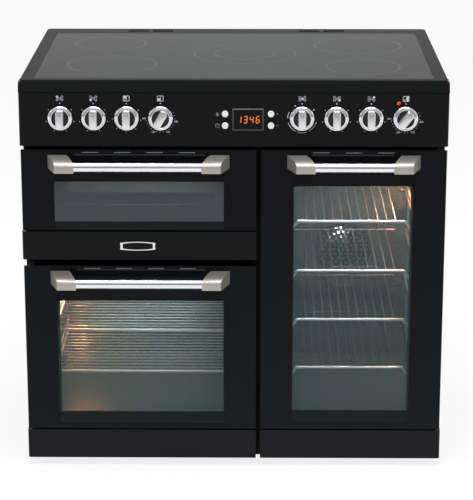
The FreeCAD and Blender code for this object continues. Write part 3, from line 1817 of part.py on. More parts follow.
MAIN_DOOR = {
    "left": "left_door_left",
    "right": "left_door_right",
    "bottom": "main_bottom",
    "top": "main_top",
    "rim_low": "door_rim",
    "window_low": "window_bottom_margin",
    "window_high": "window_top_margin",
    "handle_length": "left_handle_length",
    "slots": 4,
}

TALL_DOOR = {
    "left": "tall_door_left",
    "right": "tall_door_right",
    "bottom": "main_bottom",
    "top": "grill_top",
    "rim_low": "door_rim",
    "window_low": "window_bottom_margin",
    "window_high": "window_top_margin",
    "handle_length": "tall_handle_length",
    "slots": 3,
}


def doors():
    hinges = drop_down_door("grill_door", GRILL_DOOR)
    hinges += side_hung_door("main_oven_door", MAIN_DOOR, "main_pivot_x", 1)
    hinges += side_hung_door("tall_oven_door", TALL_DOOR, "tall_pivot_x", -1)
    node("door_hinges", group("hinges", hinges))


# ---------------------------------------------------------------- build, check and write

case()
hob()
controls()
cavities()
doors()
doc.recompute()

for item in doc.Objects:
    if "Invalid" in item.State or "Error" in item.State:
        raise RuntimeError(f"{item.Name} did not build: {item.State}")

os.makedirs("parts", exist_ok=True)
for piece in nodes:
    shape = piece.Shape
    if shape.isNull() or not shape.isValid():
        raise RuntimeError(f"{piece.Label} has no valid shape")
    if not shape.Solids:
        raise RuntimeError(f"{piece.Label} holds no solid")
    shape.exportStep(f"parts/{piece.Label}.step")
    print(f"{piece.Label}: {len(shape.Solids)} solid(s), {shape.Volume / 1000:.1f} cm3")
print(f"{len(nodes)} nodes")
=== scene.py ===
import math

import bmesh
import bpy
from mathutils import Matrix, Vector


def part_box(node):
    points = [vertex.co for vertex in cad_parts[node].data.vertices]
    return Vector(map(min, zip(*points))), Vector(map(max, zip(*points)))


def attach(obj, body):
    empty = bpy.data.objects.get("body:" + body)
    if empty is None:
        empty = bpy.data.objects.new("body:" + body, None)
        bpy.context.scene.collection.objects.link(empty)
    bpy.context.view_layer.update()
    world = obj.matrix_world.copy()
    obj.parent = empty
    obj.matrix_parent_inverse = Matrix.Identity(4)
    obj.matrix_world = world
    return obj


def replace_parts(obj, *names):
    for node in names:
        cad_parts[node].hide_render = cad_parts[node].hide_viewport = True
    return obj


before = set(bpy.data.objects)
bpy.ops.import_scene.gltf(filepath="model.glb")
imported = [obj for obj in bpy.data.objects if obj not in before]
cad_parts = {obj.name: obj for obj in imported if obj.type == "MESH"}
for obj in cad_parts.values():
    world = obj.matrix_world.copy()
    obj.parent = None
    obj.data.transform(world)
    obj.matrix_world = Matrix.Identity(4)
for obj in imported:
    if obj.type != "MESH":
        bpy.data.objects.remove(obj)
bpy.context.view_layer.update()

# %% [markdown]
# # A range cooker with a ceramic hob, a grill and two ovens
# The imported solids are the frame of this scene. Some of them are only given a finish. Where the real
# cooker has rounder or finer forms than the solids, a new piece is modelled from the solid's own box
# and stands in for it. Working from the boxes keeps a piece on its solid when a size of the cooker
# changes. Only the smallest fittings, such as screws, have places of their own. Lengths are metres:
# +X is the cooker's right, -Y is towards the cook and +Z is up.

MM = 0.001
scene = bpy.context.scene

fascia_low, fascia_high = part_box("control_fascia")
front = fascia_low.y
width = fascia_high.x - fascia_low.x
print(f"door faces at y = {front:.4f} m, {width * 1000:.0f} mm wide, {len(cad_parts)} solids loaded")

# %% [markdown]
# ## Numbers on wires
# A pattern in a material is a chain of Math nodes. They could be added one by one, which takes five
# lines for each sum. `Signal` wraps a socket and overloads the usual operators instead, so a pattern
# reads like its formula. Every node comes from `add_node`, which makes a node's settings first,
# because they decide which sockets it has.


# %% Nodes and signals
def plug(tree, value, socket):
    """Wire a signal or a socket into a socket, or set the socket's own value."""
    if isinstance(value, Signal):
        value = value.socket
    if isinstance(value, bpy.types.NodeSocket):
        tree.links.new(value, socket)
    else:
        socket.default_value = value


def add_node(tree, kind, settings=None, inputs=None):
    """A node of one kind: its settings are made first, then its sockets are set or wired."""
    node = tree.nodes.new(kind)
    for setting, value in (settings or {}).items():
        setattr(node, setting, value)
    for socket, value in (inputs or {}).items():
        plug(tree, value, node.inputs[socket])
    return node


class Signal:
    """A number on a wire of a node tree."""

    def __init__(self, tree, socket):
        self.tree = tree
        self.socket = socket

    def math(self, operation, *values):
        node = add_node(self.tree, "ShaderNodeMath", {"operation": operation}, dict(enumerate(values)))
        return Signal(self.tree, node.outputs[0])

    def __add__(self, other):
        return self.math("ADD", self, other)

    def __radd__(self, other):
        return self.math("ADD", other, self)

    def __sub__(self, other):
        return self.math("SUBTRACT", self, other)

    def __rsub__(self, other):
        return self.math("SUBTRACT", other, self)

    def __mul__(self, other):
        return self.math("MULTIPLY", self, other)

    def __rmul__(self, other):
        return self.math("MULTIPLY", other, self)

    def __gt__(self, other):
        return self.math("GREATER_THAN", self, other)

    def __lt__(self, other):
        return self.math("LESS_THAN", self, other)

    def __abs__(self):
        return self.math("ABSOLUTE", self)

    def between(self, low, high):
        return (self > low) * (self < high)

    def root(self):
        return self.math("SQRT", self)

    def clamped(self):
        return self.math("MINIMUM", self.math("MAXIMUM", self, 0.0), 1.0)


# %% [markdown]
# ## One shader for each finish
# All the finishes of a cooker can be had from one Principled shader. `Surface` holds it and offers
# the few patterns that they share: position, noise, a blend of two colours and a bump. Numbers that
# are the same all over a piece go straight on the shader's own sockets, which keeps the tree small.


# %% Surfaces and colours
class Surface:
    """A node material built round one Principled shader."""

    def __init__(self, name, color, roughness=0.4, metallic=0.0, **constants):
        self.material = bpy.data.materials.new(name)
        self.material.use_nodes = True
        self.tree = self.material.node_tree
        self.shader = self.tree.nodes["Principled BSDF"]
        self.feed("Base Color", (*color, 1.0))
        self.feed("Roughness", roughness)
        self.feed("Metallic", metallic)
        for socket, value in constants.items():
            self.feed(socket.replace("_", " "), value)
        self.coordinates = add_node(self.tree, "ShaderNodeTexCoord").outputs["Object"]

    def feed(self, socket, value):
        """Set a socket of the shader or wire something into it."""
        plug(self.tree, value, self.shader.inputs[socket])

    def position(self):
        parts = add_node(self.tree, "ShaderNodeSeparateXYZ", {}, {0: self.coordinates})
        return [Signal(self.tree, parts.outputs[axis]) for axis in range(3)]

    def noise(self, scale, detail=3.0, stretch=(1, 1, 1)):
        stretched = {"Vector": self.coordinates, "Scale": stretch}
        mapping = add_node(self.tree, "ShaderNodeMapping", {}, stretched)
        inputs = {"Vector": mapping.outputs[0], "Scale": scale, "Detail": detail}
        return Signal(self.tree, add_node(self.tree, "ShaderNodeTexNoise", {}, inputs).outputs[0])

    def blend(self, factor, first, second):
        """A colour between two colours, or between a wire and a colour."""
        first, second = ((*tone, 1.0) if isinstance(tone, tuple) else tone for tone in (first, second))
        # a Mix node has sockets for each kind of data: those for colours are inputs 6 and 7 and output 2
        inputs = {0: factor, 6: first, 7: second}
        return add_node(self.tree, "ShaderNodeMix", {"data_type": "RGBA"}, inputs).outputs[2]

    def bump(self, height, strength, distance):
        inputs = {"Strength": strength, "Distance": distance, "Height": height}
        self.feed("Normal", add_node(self.tree, "ShaderNodeBump", {}, inputs).outputs[0])
        return self


def shade(value):
    """An sRGB level from 0 to 255 as a linear number."""
    level = value / 255
    return level / 12.92 if level <= 0.04045 else ((level + 0.055) / 1.055) ** 2.4


def colour(red, green, blue):
    """A colour read off as levels from 0 to 255."""
    return (shade(red), shade(green), shade(blue))


def scaled(tone, share):
    """The same colour, lighter or darker by a share."""
    return colour(*(level * share for level in tone))


def told(title, materials):
    """Print the finishes that a cell made."""
    print(f"{title}: " + ", ".join(material.name for material in materials))


# %% [markdown]
# ## Black enamel
# The fascia, the panels and the door frames are sheet steel with stoved black enamel. One flat black
# would do for a small part, but a wide front shows a slow change of tone, so the enamel here is painted
# a little lighter towards the floor, a painted reflection of the pale floor, with broad patches of
# tone over it. A very fine bump breaks the reflections as sprayed enamel does.


# %% Black enamel on the front, the sides and the timer
SHEEN_PAINTED_BELOW = 0.75  # metres above the floor; from here down the enamel is painted lighter, a painted reflection
ENAMEL_LIFT = 12  # levels between the darkest and the lightest enamel


def black_enamel(name="black_enamel", tone=(13, 14, 15), roughness=0.2, gloss=0.08):
    surface = Surface(name, colour(*tone), roughness, Specular_IOR_Level=gloss)
    surface.feed("Roughness", surface.noise(240.0) * 0.08 + (roughness - 0.04))
    _, _, z = surface.position()
    # painted reflection: lighter towards the floor, under broad patches of tone that vary at random
    lighter = ((SHEEN_PAINTED_BELOW - z) * 1.1).clamped() * 0.6 + surface.noise(3.0) * 0.4
    light = colour(*(level + ENAMEL_LIFT for level in tone))
    surface.feed("Base Color", surface.blend(lighter, colour(*tone), light))
    return surface.bump(surface.noise(420.0), 0.08, 0.0004).material


enamel = black_enamel()
panel_black = black_enamel("panel_black", (18, 18, 21), 0.24)
frame_black = black_enamel("frame_black", (8, 8, 9), 0.4)
door_steel = black_enamel("door_steel", (18, 19, 20), 0.35)
timer_black = black_enamel("timer_black", (14, 14, 16), 0.1)
bezel_grey = black_enamel("bezel_grey", (44, 44, 50), 0.25, 0.4)
told("black enamel", (enamel, panel_black, frame_black, door_steel, timer_black, bezel_grey))

# %% [markdown]
# ## Painted trim and moulded plastic
# The hob sits in a dull dark frame with a powdery paint, and the small parts are moulded plastic or
# printed ink. Both are plain colours with a fine grain in roughness and bump, since neither has a
# pattern that shows from the cook's place. The hob's paint is painted paler towards the back, a
# painted reflection of the room, which the real trim catches more of there.


# %% Paint, plastic and ink
REFLECTION_PAINTED_BEHIND = -0.3  # metres; from here towards the back the trim is painted paler, a painted reflection


def painted_grey(name, tone, roughness):
    surface = Surface(name, colour(*tone), roughness, 0.0, Specular_IOR_Level=0.05)
    grain = surface.noise(500.0, 2.0)
    surface.feed("Roughness", grain * 0.12 + (roughness - 0.06))
    _, y, _ = surface.position()
    # painted reflection: paler towards the back, with a little random mottle
    painted_reflection_and_mottle = ((y - REFLECTION_PAINTED_BEHIND) * 1.5).clamped() * 0.8 + surface.noise(6.0) * 0.2
    surface.feed("Base Color", surface.blend(painted_reflection_and_mottle, colour(*tone), colour(*(level + 18 for level in tone))))
    return surface.bump(grain, 0.1, 0.0003).material


def plastic(name, tone, roughness):
    surface = Surface(name, colour(*tone), roughness)
    grain = surface.noise(900.0, 2.0)
    surface.feed("Roughness", grain * 0.1 + (roughness - 0.05))
    return surface.bump(grain, 0.12, 0.0003).material


hob_trim = painted_grey("hob_trim", (24, 25, 25), 0.5)
black_plastic = plastic("black_plastic", (18, 18, 19), 0.45)
button_plastic = plastic("button_plastic", (226, 227, 230), 0.3)
print_white = plastic("print_white", (190, 194, 200), 0.5)
print_grey = plastic("print_grey", (120, 122, 126), 0.5)
told("paint, plastic and ink", (hob_trim, black_plastic, button_plastic, print_white, print_grey))

# %% [markdown]
# ## Bare and plated metal
# The brackets are cast and nickelled, the bars are brushed steel, the knobs are chromed and the sheet
# at the back is zinc-plated. Grain is noise squeezed along one axis, which costs less than a fine
# texture and follows the piece. The shelves get a finish of their own with painted light: their chrome
# is painted bright at the door as a painted reflection and darker further in as painted shade, so the
# front rail of every shelf reads as a bright line, as it does through the real window.


# %% Metal finishes
RAIL_DEPTH = 7 * MM  # how far behind its front edge a shelf's chrome is painted bright


def satin_metal(name, tone, roughness, grain_axis=(1, 40, 40), strength=0.05, metallic=1.0):
    surface = Surface(name, colour(*tone), roughness, metallic)
    grain = surface.noise(60.0, 6.0, grain_axis)
    surface.feed("Roughness", grain * 0.12 + (roughness - 0.06))
    surface.feed("Base Color", surface.blend(grain, colour(*tone), scaled(tone, 0.94)))
    if strength:
        surface.bump(grain, strength, 0.0003)
    return surface.material


def wire_with_painted_light(name, node, dull, metallic=0.9):
    """Chromed wire painted bright at the door as a painted reflection, and darker deeper in the oven as
    painted shade.
    """
    bright = colour(236, 240, 238)
    surface = Surface(name, bright, 0.3, metallic)
    _, y, _ = surface.position()
    # painted shade: deeper than the rail the wire takes the darker tone, with random patches over it
    in_painted_shade = ((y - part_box(node)[0].y - RAIL_DEPTH) * 400.0).clamped()
    patches = surface.noise(14.0)
    tinted = surface.blend(patches, colour(*dull), scaled(dull, 1.12))
    surface.feed("Base Color", surface.blend(in_painted_shade, bright, tinted))
    surface.feed("Roughness", patches * 0.08 + 0.28)
    return surface.material


cast_nickel = satin_metal("cast_nickel", (186, 184, 176), 0.42, (60, 4, 4), 0.03, 0.8)
bar_steel = satin_metal("bar_steel", (240, 240, 243), 0.12, (1, 60, 60), 0.02)
grip_metal = satin_metal("grip_metal", (236, 236, 238), 0.3, (40, 40, 2), 0.02, 0.8)
polished_chrome = satin_metal("polished_chrome", (232, 233, 236), 0.07, (1, 1, 1), 0)
wire_chrome = satin_metal("wire_chrome", (176, 188, 186), 0.36, (2, 2, 2), 0, 0.7)
zinc_sheet = satin_metal("zinc_sheet", (158, 162, 166), 0.42, (6, 6, 1), 0.05)
sheath = satin_metal("element_sheath", (96, 88, 80), 0.5, (4, 4, 4), 0.1)
fan_steel = satin_metal("fan_steel", (150, 150, 150), 0.4, (4, 4, 4), 0.05)
told("trim metal", (cast_nickel, bar_steel, grip_metal, polished_chrome))
told("working metal", (wire_chrome, zinc_sheet, sheath, fan_steel))

tall_shelf_wire = wire_with_painted_light("tall_shelf_wire", "tall_oven_racks", (100, 94, 90))
main_shelf_wire = wire_with_painted_light("main_shelf_wire", "main_oven_racks", (172, 184, 182), 0.7)
grill_shelf_wire = wire_with_painted_light("grill_shelf_wire", "grill_rack", (120, 128, 130), 0.3)
told("shelf wire", (tall_shelf_wire, main_shelf_wire, grill_shelf_wire))

# %% [markdown]
# ## Enamel inside the ovens
# The cavities and the grill pan are lined with glassy enamel that has fine pale specks. The specks
# are a threshold on a very fine noise: painting them would need an image, and modelling them would
# need thousands of faces. The fan cover's enamel is darkened in the round field of its holes, where
# little of the light comes back out.


# %% Vitreous enamel
HOLE_FIELD = 69 * MM  # radius of the round field of holes in the fan cover


def oven_enamel(name, tone):
    """Vitreous enamel with fine pale specks."""
    surface = Surface(name, colour(*tone), 0.28, Coat_Weight=0.5, Coat_Roughness=0.12)
    specks = surface.noise(1400.0, 1.0) > 0.66
    base = surface.blend(surface.noise(5.0), colour(*tone), scaled(tone, 1.12))
    surface.feed("Base Color", surface.blend(specks * 0.35, base, colour(190, 200, 205)))
    return surface.bump(surface.noise(160.0), 0.06, 0.0005).material


def perforated_enamel(name, tone):
    """The fan cover's enamel, darker in the round field of holes."""
    surface = Surface(name, colour(*tone), 0.3, Coat_Weight=0.3, Coat_Roughness=0.15)
    low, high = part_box("fan_impeller")
    x, _, z = surface.position()
    dx = x - (low.x + high.x) / 2
    dz = z - (low.z + high.z) / 2
    field = ((HOLE_FIELD - (dx * dx + dz * dz).root()) * 260.0).clamped()
    mottle = surface.noise(300.0)
    rim = surface.blend(mottle, colour(*tone), scaled(tone, 1.1))
    surface.feed("Base Color", surface.blend(field, rim, scaled(tone, 0.55)))
    return surface.bump(mottle, 0.05, 0.0004).material


cavity_enamel = oven_enamel("cavity_enamel", (66, 84, 87))
grill_enamel = oven_enamel("grill_enamel", (74, 82, 86))
pan_enamel = oven_enamel("pan_enamel", (130, 140, 145))
cover_enamel = perforated_enamel("cover_enamel", (64, 80, 84))
told("vitreous enamel", (cavity_enamel, grill_enamel, pan_enamel, cover_enamel))

# %% [markdown]
# ## Glass
# A door's outer glass is printed black on its back round a tinted window, with a darker strip at the
# window's foot. The print is painted a little lighter towards the floor, a painted reflection, and a
# painted shadow one millimetre wide runs round the window. The print could be a second thin piece
# behind the glass. Here it is part of the glass's own finish, because the window is then cut by a
# formula and its edge stays sharp: the shader is opaque where there is print and lets most of the
# light through in the window. The inner panes are plain glass with a faint smear.


# %% Printed and clear glass
def printed_glass(name, node, margins, strip_height, tint, cover):
    """Door glass, printed black on its back round a tinted window that has a darker strip at its foot, with a
    painted reflection on the print and a painted shadow line round the window.
    """
    low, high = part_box(node)
    side, bottom, top = (margin * MM for margin in margins)
    surface = Surface(name, colour(16, 16, 18), 0.04, Specular_IOR_Level=0.07)
    x, _, z = surface.position()
    left, right = low.x + side, high.x - side
    foot, head = low.z + bottom, high.z - top
    clear = z > foot + strip_height * MM
    window = x.between(left, right) * z.between(foot, head)
    # painted shadow: a dark line one millimetre wide round the outside of the window
    edge = x.between(left - MM, right + MM) * z.between(foot - MM, head + MM)
    # painted reflection: the print lighter towards the floor, with random mottle over it
    painted_sheen_and_mottle = ((0.72 - z) * 1.3).clamped() * 0.7 + surface.noise(1.6, 2.0) * 0.3
    printed = surface.blend(painted_sheen_and_mottle, colour(10, 11, 13), colour(22, 24, 27))
    with_painted_shadow_rim = surface.blend(edge, printed, colour(3, 3, 4))
    shown = surface.blend(clear, colour(24, 28, 29), colour(*tint))
    surface.feed("Base Color", surface.blend(window, with_painted_shadow_rim, shown))
    surface.feed("Alpha", 1.0 - window * clear * (1.0 - cover))
    return surface.material


def clear_glass(name, tone=(150, 170, 170), alpha=0.08):
    surface = Surface(name, colour(*tone), 0.03, IOR=1.5)
    smear = surface.noise(4.0, 4.0)
    surface.feed("Alpha", smear * 0.03 + alpha)
    surface.feed("Roughness", smear * 0.04 + 0.01)
    return surface.material


inner_pane = clear_glass("inner_pane")
told("clear glass", [inner_pane])

# %% [markdown]
# ## Hob ceramic
# The hob is one sheet of black ceramic with a thin printed ring round each cooking zone. The rings
# could be inlaid as geometry, but they have no thickness on the real hob, so each is a band of
# distance from the zone's centre. The middle of the sheet is drawn lighter, because the real one
# mirrors a studio that is brighter over its middle.


# %% The hob's zones and its ceramic
ZONES = (
    # centre across, centre back from the hob's front edge, radius, all in millimetres
    (-284, 410, 80),
    (-265, 166, 96),
    (22, 291, 113),
    (22, 291, 67),
    (277, 386, 97.5),
    (276.5, 144, 80),
)
RING_HALF_LINE = 1.6 * MM


def hob_ceramic():
    """Smooth black ceramic with thin printed rings round the zones."""
    surface = Surface("hob_ceramic", colour(34, 38, 38), 0.12, Specular_IOR_Level=0.02)
    x, y, _ = surface.position()
    hob_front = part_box("hob_frame")[0].y
    rings = 0.0
    for across, back, radius in ZONES:
        dx = x - across * MM
        dy = y - (hob_front + back * MM)
        rings = (abs((dx * dx + dy * dy).root() - radius * MM) < RING_HALF_LINE) + rings
    middle = (1.1 - abs(x - 0.02) * 2.2).clamped()
    base = surface.blend(middle, colour(6, 8, 9), colour(19, 23, 24))
    surface.feed("Base Color", surface.blend(rings.clamped(), base, colour(52, 62, 60)))
    surface.feed("Roughness", surface.noise(700.0, 2.0) * 0.05 + 0.1)
    return surface.material


hob_black = hob_ceramic()
print(f"hob ceramic with {len(ZONES)} rings")

# %% [markdown]
# ## Lamps, seals and fibre
# Three small things give light: the lenses of the oven lamps, the neon and the timer's digits.
# Emission on their own surface makes them read as lit, and separate lamps further down do the
# lighting, because a small bright surface alone would leave the ovens noisy. The seals are dull
# rubber and the heaters' pads are pale fibre.


# %% Lit lenses, rubber and fibre
def glowing(name, tone, strength):
    light = (*colour(*tone), 1.0)
    surface = Surface(name, colour(*tone), 0.4, Emission_Color=light, Emission_Strength=strength)
    surface.feed("Base Color", surface.blend(surface.noise(200.0), colour(*tone), scaled(tone, 0.9)))
    return surface.material


def rubber_seal():
    surface = Surface("seal_rubber", colour(26, 26, 26), 0.75)
    return surface.bump(surface.noise(300.0), 0.3, 0.0005).material


def ceramic_fibre():
    surface = Surface("ceramic_fibre", colour(205, 198, 186), 0.9)
    fibre = surface.noise(120.0, 8.0)
    surface.feed("Base Color", surface.blend(fibre, colour(214, 208, 198), colour(176, 166, 150)))
    return surface.bump(fibre, 0.5, 0.002).material


lamp_glass = glowing("lamp_glass", (255, 176, 104), 1.6)
neon_red = glowing("neon_red", (255, 24, 24), 2.2)
digit_orange = glowing("digit_orange", (240, 118, 8), 0.6)
seal_rubber = rubber_seal()
heater_fibre = ceramic_fibre()
told("lit and dull finishes", (lamp_glass, neon_red, digit_orange, seal_rubber, heater_fibre))

# %% [markdown]
# ## Finishing a piece
# Every new piece is a closed mesh in the frame's own coordinates and rides on the body of the solid
# it belongs to. Merging doubles first lets Blender find the outside of the mesh and turn all its
# normals outwards. Smooth shading with sharp edges above an angle is chosen over a modifier, because
# it needs no extra faces. Plates with ground edges use the smaller angle, so that their large faces
# stay truly flat and mirror straight lines.


# %% Finish, prism and box
ROUND = 40  # degrees: faces that meet at less than this are shaded as one round surface
FLAT = 18  # degrees: the same for plates and castings with bevelled edges


def finish_piece(bm, name, body, materials, smooth=ROUND):
    """Turn the mesh being edited into a piece that rides on a body."""
    bmesh.ops.remove_doubles(bm, verts=bm.verts, dist=1e-6)
    bmesh.ops.recalc_face_normals(bm, faces=bm.faces)
    mesh = bpy.data.meshes.new(name)
    bm.to_mesh(mesh)
    bm.free()
    mesh.shade_smooth()
    mesh.set_sharp_from_angle(angle=math.radians(smooth))
    piece = bpy.data.objects.new(name, mesh)
    scene.collection.objects.link(piece)
    for material in materials:
        mesh.materials.append(material)
    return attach(piece, body)


def soften(bm, edges, width, segments):
    """Bevel some edges by a width."""
    return bmesh.ops.bevel(
        bm,
        geom=edges,
        offset=width,
        offset_type="OFFSET",
        affect="EDGES",
        segments=segments,
        profile=0.5,
        material=-1,
    )


def add_prism(bm, corners, offset, material=0):
    """A closed prism from a flat outline to its copy moved by the offset."""
    face = bm.faces.new([bm.verts.new(corner) for corner in corners])
    grown = bmesh.ops.extrude_face_region(bm, geom=[face], use_keep_orig=True)
    moved = [item for item in grown["geom"] if isinstance(item, bmesh.types.BMVert)]
    bmesh.ops.translate(bm, verts=moved, vec=offset)
    faces = {face} | {item for vert in moved for item in vert.link_faces}
    for item in faces:
        item.material_index = material
    return list(faces)


def add_box(bm, low, high, bevel=0.0):
    """A box between two corners, with softened edges where a bevel is given."""
    low, high = Vector(low), Vector(high)
    matrix = Matrix.Translation((low + high) / 2) @ Matrix.Diagonal((*(high - low), 1))
    cube = bmesh.ops.create_cube(bm, size=1.0, matrix=matrix)
    if bevel:
        edges = list({edge for vert in cube["verts"] for edge in vert.link_edges})
        soften(bm, edges, bevel, 2)


# %% [markdown]
# ## Turned forms, rings and outlines
# Knob skirts, buttons, bars and screw heads are turned: half of the section is spun once round the
# axis and its seam is merged. Grips and rims are lofted: outlines with as many corners are laid one
# above another, and a band of faces joins each to the next. The bridge operator could join them too,
# but it pairs the corners by itself, and that went wrong on marks a few millimetres wide. Here the
# corners are made in one order, so each meets its own neighbour. Round stretches come from `arc`, so
# an outline needs few points of its own.


# %% Lathe, loft and outlines
def in_metres(profile):
    return [(radius * MM, along * MM) for radius, along in profile]


def add_lathe(bm, profile, centre, axis, steps=64):
    """A closed turned form, from (radius, distance along the axis) pairs that start and end on the axis."""
    side = axis.orthogonal().normalized()
    verts = [bm.verts.new(centre + side * radius + axis * along) for radius, along in profile]
    edges = [bm.edges.new(pair) for pair in zip(verts, verts[1:])]
    bmesh.ops.spin(
        bm, geom=verts + edges, cent=centre, axis=axis, angle=2 * math.pi, steps=steps, use_merge=True
    )
    bmesh.ops.remove_doubles(bm, verts=bm.verts, dist=1e-6)


def join_rings(bm, rings, material=0):
    """Lay a band of faces from each ring of corners to the next one, corner by corner."""
    for first, second in zip(rings, rings[1:]):
        for index in range(len(first)):
            after = (index + 1) % len(first)
            face = bm.faces.new([first[index], first[after], second[after], second[index]])
            face.material_index = material


def arc(centre, radius, start, end, steps):
    """Points of a round stretch, by angle in degrees, as (across, up) pairs."""
    turns = [math.radians(start + (end - start) * step / steps) for step in range(steps + 1)]
    return [(centre[0] + radius * math.cos(turn), centre[1] + radius * math.sin(turn)) for turn in turns]


def rounded_outline(half_width, half_height, radius, steps=6):
    """A rectangle with round corners, as (across, up) pairs."""
    corners = []
    for index, (x, y) in enumerate(((1, 1), (-1, 1), (-1, -1), (1, -1))):
        centre = (x * (half_width - radius), y * (half_height - radius))
        corners += arc(centre, radius, 90 * index, 90 * index + 90, steps)
    return corners


def box_middle(name):
    """The middle of a solid's box, brought to the plane of the door faces."""
    low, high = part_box(name)
    return Vector(((low.x + high.x) / 2, front, (low.z + high.z) / 2))


print(f"a rounded outline has {len(rounded_outline(1, 1, 0.2))} corners")

# %% [markdown]
# ## Knobs
# Each knob has a polished dished skirt, a black well inside it and a bar grip across the well, with a
# small square mark near the grip's upper end. The skirt and well are one turned section, because
# every edge on them is round. The grip is lofted in steps that draw in a little towards its face,
# which gives it soft shoulders without a bevel. The solid's box gives the place, and the two oven
# knobs are turned to the temperature that they are set to.

# %% Sizes of a knob
KNOB_TURNS = {"main_oven_knob": 30, "tall_oven_knob": 38}  # degrees from upright
KNOBS = [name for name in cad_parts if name.endswith("_knob")]
OUT = Vector((0, -1, 0))
SKIRT = (
    # radius and height above the fascia, millimetres
    (0, 0.5),
    (25.4, 0.5),
    (26.2, 1.0),
    (26.3, 2.2),
    (25.9, 3.4),
    (24.9, 4.6),
    (23.4, 5.5),
    (22.6, 5.5),
    (22.2, 5.2),
    (21.6, 5.4),
    (20.4, 6.2),
    (19.2, 6.5),
    (18.3, 6.2),
    (17.9, 5.4),
    (17.8, 2.4),
    (0, 2.4),
)
WELL_RADIUS = 17.85 * MM
WELL_FLOOR = 2.0 * MM
GRIP_STEPS = (
    # height above the fascia and how far the outline is drawn in, millimetres
    (2.4, -0.4),
    (20.5, 0.0),
    (22.6, 0.12),
    (23.4, 0.48),
    (23.6, 0.96),
)
GRIP_TOP = 23.6 * MM
MARK_HEIGHT = 12.6 * MM  # from the knob's axis up to its mark
CHROME, WELL, GRIP, MARK = range(4)  # a knob's materials, in order
print(f"{len(KNOBS)} knobs, {GRIP_TOP * 1000:.1f} mm high")


# %% Build the knobs
def add_grip(bm, place, turn):
    """The bar grip: upright sides, round corners and a softened face."""
    outline = rounded_outline(7.9 * MM, 18.6 * MM, 3.6 * MM)
    rings = []
    for height, drawn_in in GRIP_STEPS:
        ring = []
        for x, z in outline:
            across = x - math.copysign(drawn_in * MM, x)
            up = z - math.copysign(drawn_in * MM, z)
            ring.append(bm.verts.new(place + turn @ Vector((across, -height * MM, up))))
        rings.append(ring)
    join_rings(bm, rings, GRIP)
    for ring in (rings[0], rings[-1]):
        bm.faces.new(ring).material_index = GRIP


def add_plate(bm, place, turn, outline, thickness, material):
    """A small plate on the grip's face, given by its outline and thickness."""
    corners = [place + turn @ Vector((x, -GRIP_TOP, MARK_HEIGHT + z)) for x, z in outline]
    add_prism(bm, corners, turn @ Vector((0, -thickness, 0)), material)


def build_knob(name):
    place = box_middle(name)
    bm = bmesh.new()
    add_lathe(bm, in_metres(SKIRT), place, OUT)
    for face in bm.faces:
        middle = face.calc_center_median() - place
        if -middle.y > WELL_FLOOR and math.hypot(middle.x, middle.z) < WELL_RADIUS:
            face.material_index = WELL
    turn = Matrix.Rotation(math.radians(KNOB_TURNS.get(name, 0)), 3, "Y")
    add_grip(bm, place, turn)
    add_plate(bm, place, turn, rounded_outline(3.6 * MM, 3.2 * MM, MM, 3), 0.12 * MM, MARK)
    add_plate(bm, place, turn, rounded_outline(1.9 * MM, 1.5 * MM, 0.5 * MM, 3), 0.24 * MM, GRIP)
    finishes = [polished_chrome, black_plastic, grip_metal, print_grey]
    piece = finish_piece(bm, name + "_turned", name, finishes)
    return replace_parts(piece, name)


for knob_name in KNOBS:
    build_knob(knob_name)
print(f"{len(KNOBS)} knobs built")

# %% [markdown]
# ## Handles
# A cast bracket at each end leans inwards as it comes forward, and a round bar runs between the pair.
# The bracket could be cut from a block, but its side view is what one sees, so that outline is drawn
# once, sheared inwards and laid at both sides. The two side faces get a narrow bevel, except at the
# back, where the bracket meets the door.

# %% Sizes of a handle
DOORS = ("grill_door", "main_oven_door", "tall_oven_door")
REACH = 50 * MM
LEAN = 18.5 * MM
BRACKET_WIDTH = 40 * MM
BAR_INTO_BRACKET = 4 * MM
print(f"handles stand {REACH * 1000:.0f} mm off the doors")


# %% Build the brackets and the bars
def bracket_outline():
    """Side view as (forward, up): flat underneath, with a top that curves down over a broad nose."""
    points = [(0.0, 17.0), (0.0, -11.5), (48.8, -11.5), (49.6, -11.0), (49.9, -10.2), (49.9, 1.2)]
    points += [(49.5, 4.4), (47.9, 7.2), (45.2, 9.4), (41.6, 11.2)]
    points += [(36.5, 12.9), (29.0, 14.5), (18.0, 16.0)]
    return [(ahead * MM, up * MM) for ahead, up in points]


def build_bracket(bm, outer_x, inward, centre_z):
    """One bracket: its side view at the outer side and at the inner side, with faces between the two."""
    rings = []
    for across in (0, BRACKET_WIDTH):
        ring = []
        for ahead, up in bracket_outline():
            x = outer_x + inward * (across + LEAN * ahead / REACH)
            ring.append(bm.verts.new((x, front - ahead, centre_z + up)))
        rings.append(ring)
    sides = [bm.faces.new(ring) for ring in rings]
    join_rings(bm, rings)
    outlines = [edge for side in sides for edge in side.edges]
    edges = [edge for edge in outlines if max(vert.co.y for vert in edge.verts) < front - MM]
    soften(bm, edges, 0.7 * MM, 3)


def build_handle(door):
    low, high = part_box(door + "_handle_brackets")
    bar_low, bar_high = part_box(door + "_handle_bar")
    middle_z = (bar_low.z + bar_high.z) / 2
    bm = bmesh.new()
    build_bracket(bm, low.x, 1, middle_z)
    build_bracket(bm, high.x, -1, middle_z)
    brackets = finish_piece(bm, door + "_cast_brackets", door, [cast_nickel], FLAT)
    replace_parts(brackets, door + "_handle_brackets")
    bm = bmesh.new()
    radius = (bar_high.z - bar_low.z) / 2
    start = Vector((bar_low.x - BAR_INTO_BRACKET, (bar_low.y + bar_high.y) / 2, middle_z))
    length = bar_high.x - bar_low.x + 2 * BAR_INTO_BRACKET
    profile = [(0, 0), (radius - MM, 0), (radius, MM)]
    profile += [(radius, length - MM), (radius - MM, length), (0, length)]
    add_lathe(bm, profile, start, Vector((1, 0, 0)), 48)
    bar = finish_piece(bm, door + "_round_bar", door, [bar_steel])
    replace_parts(bar, door + "_handle_bar")


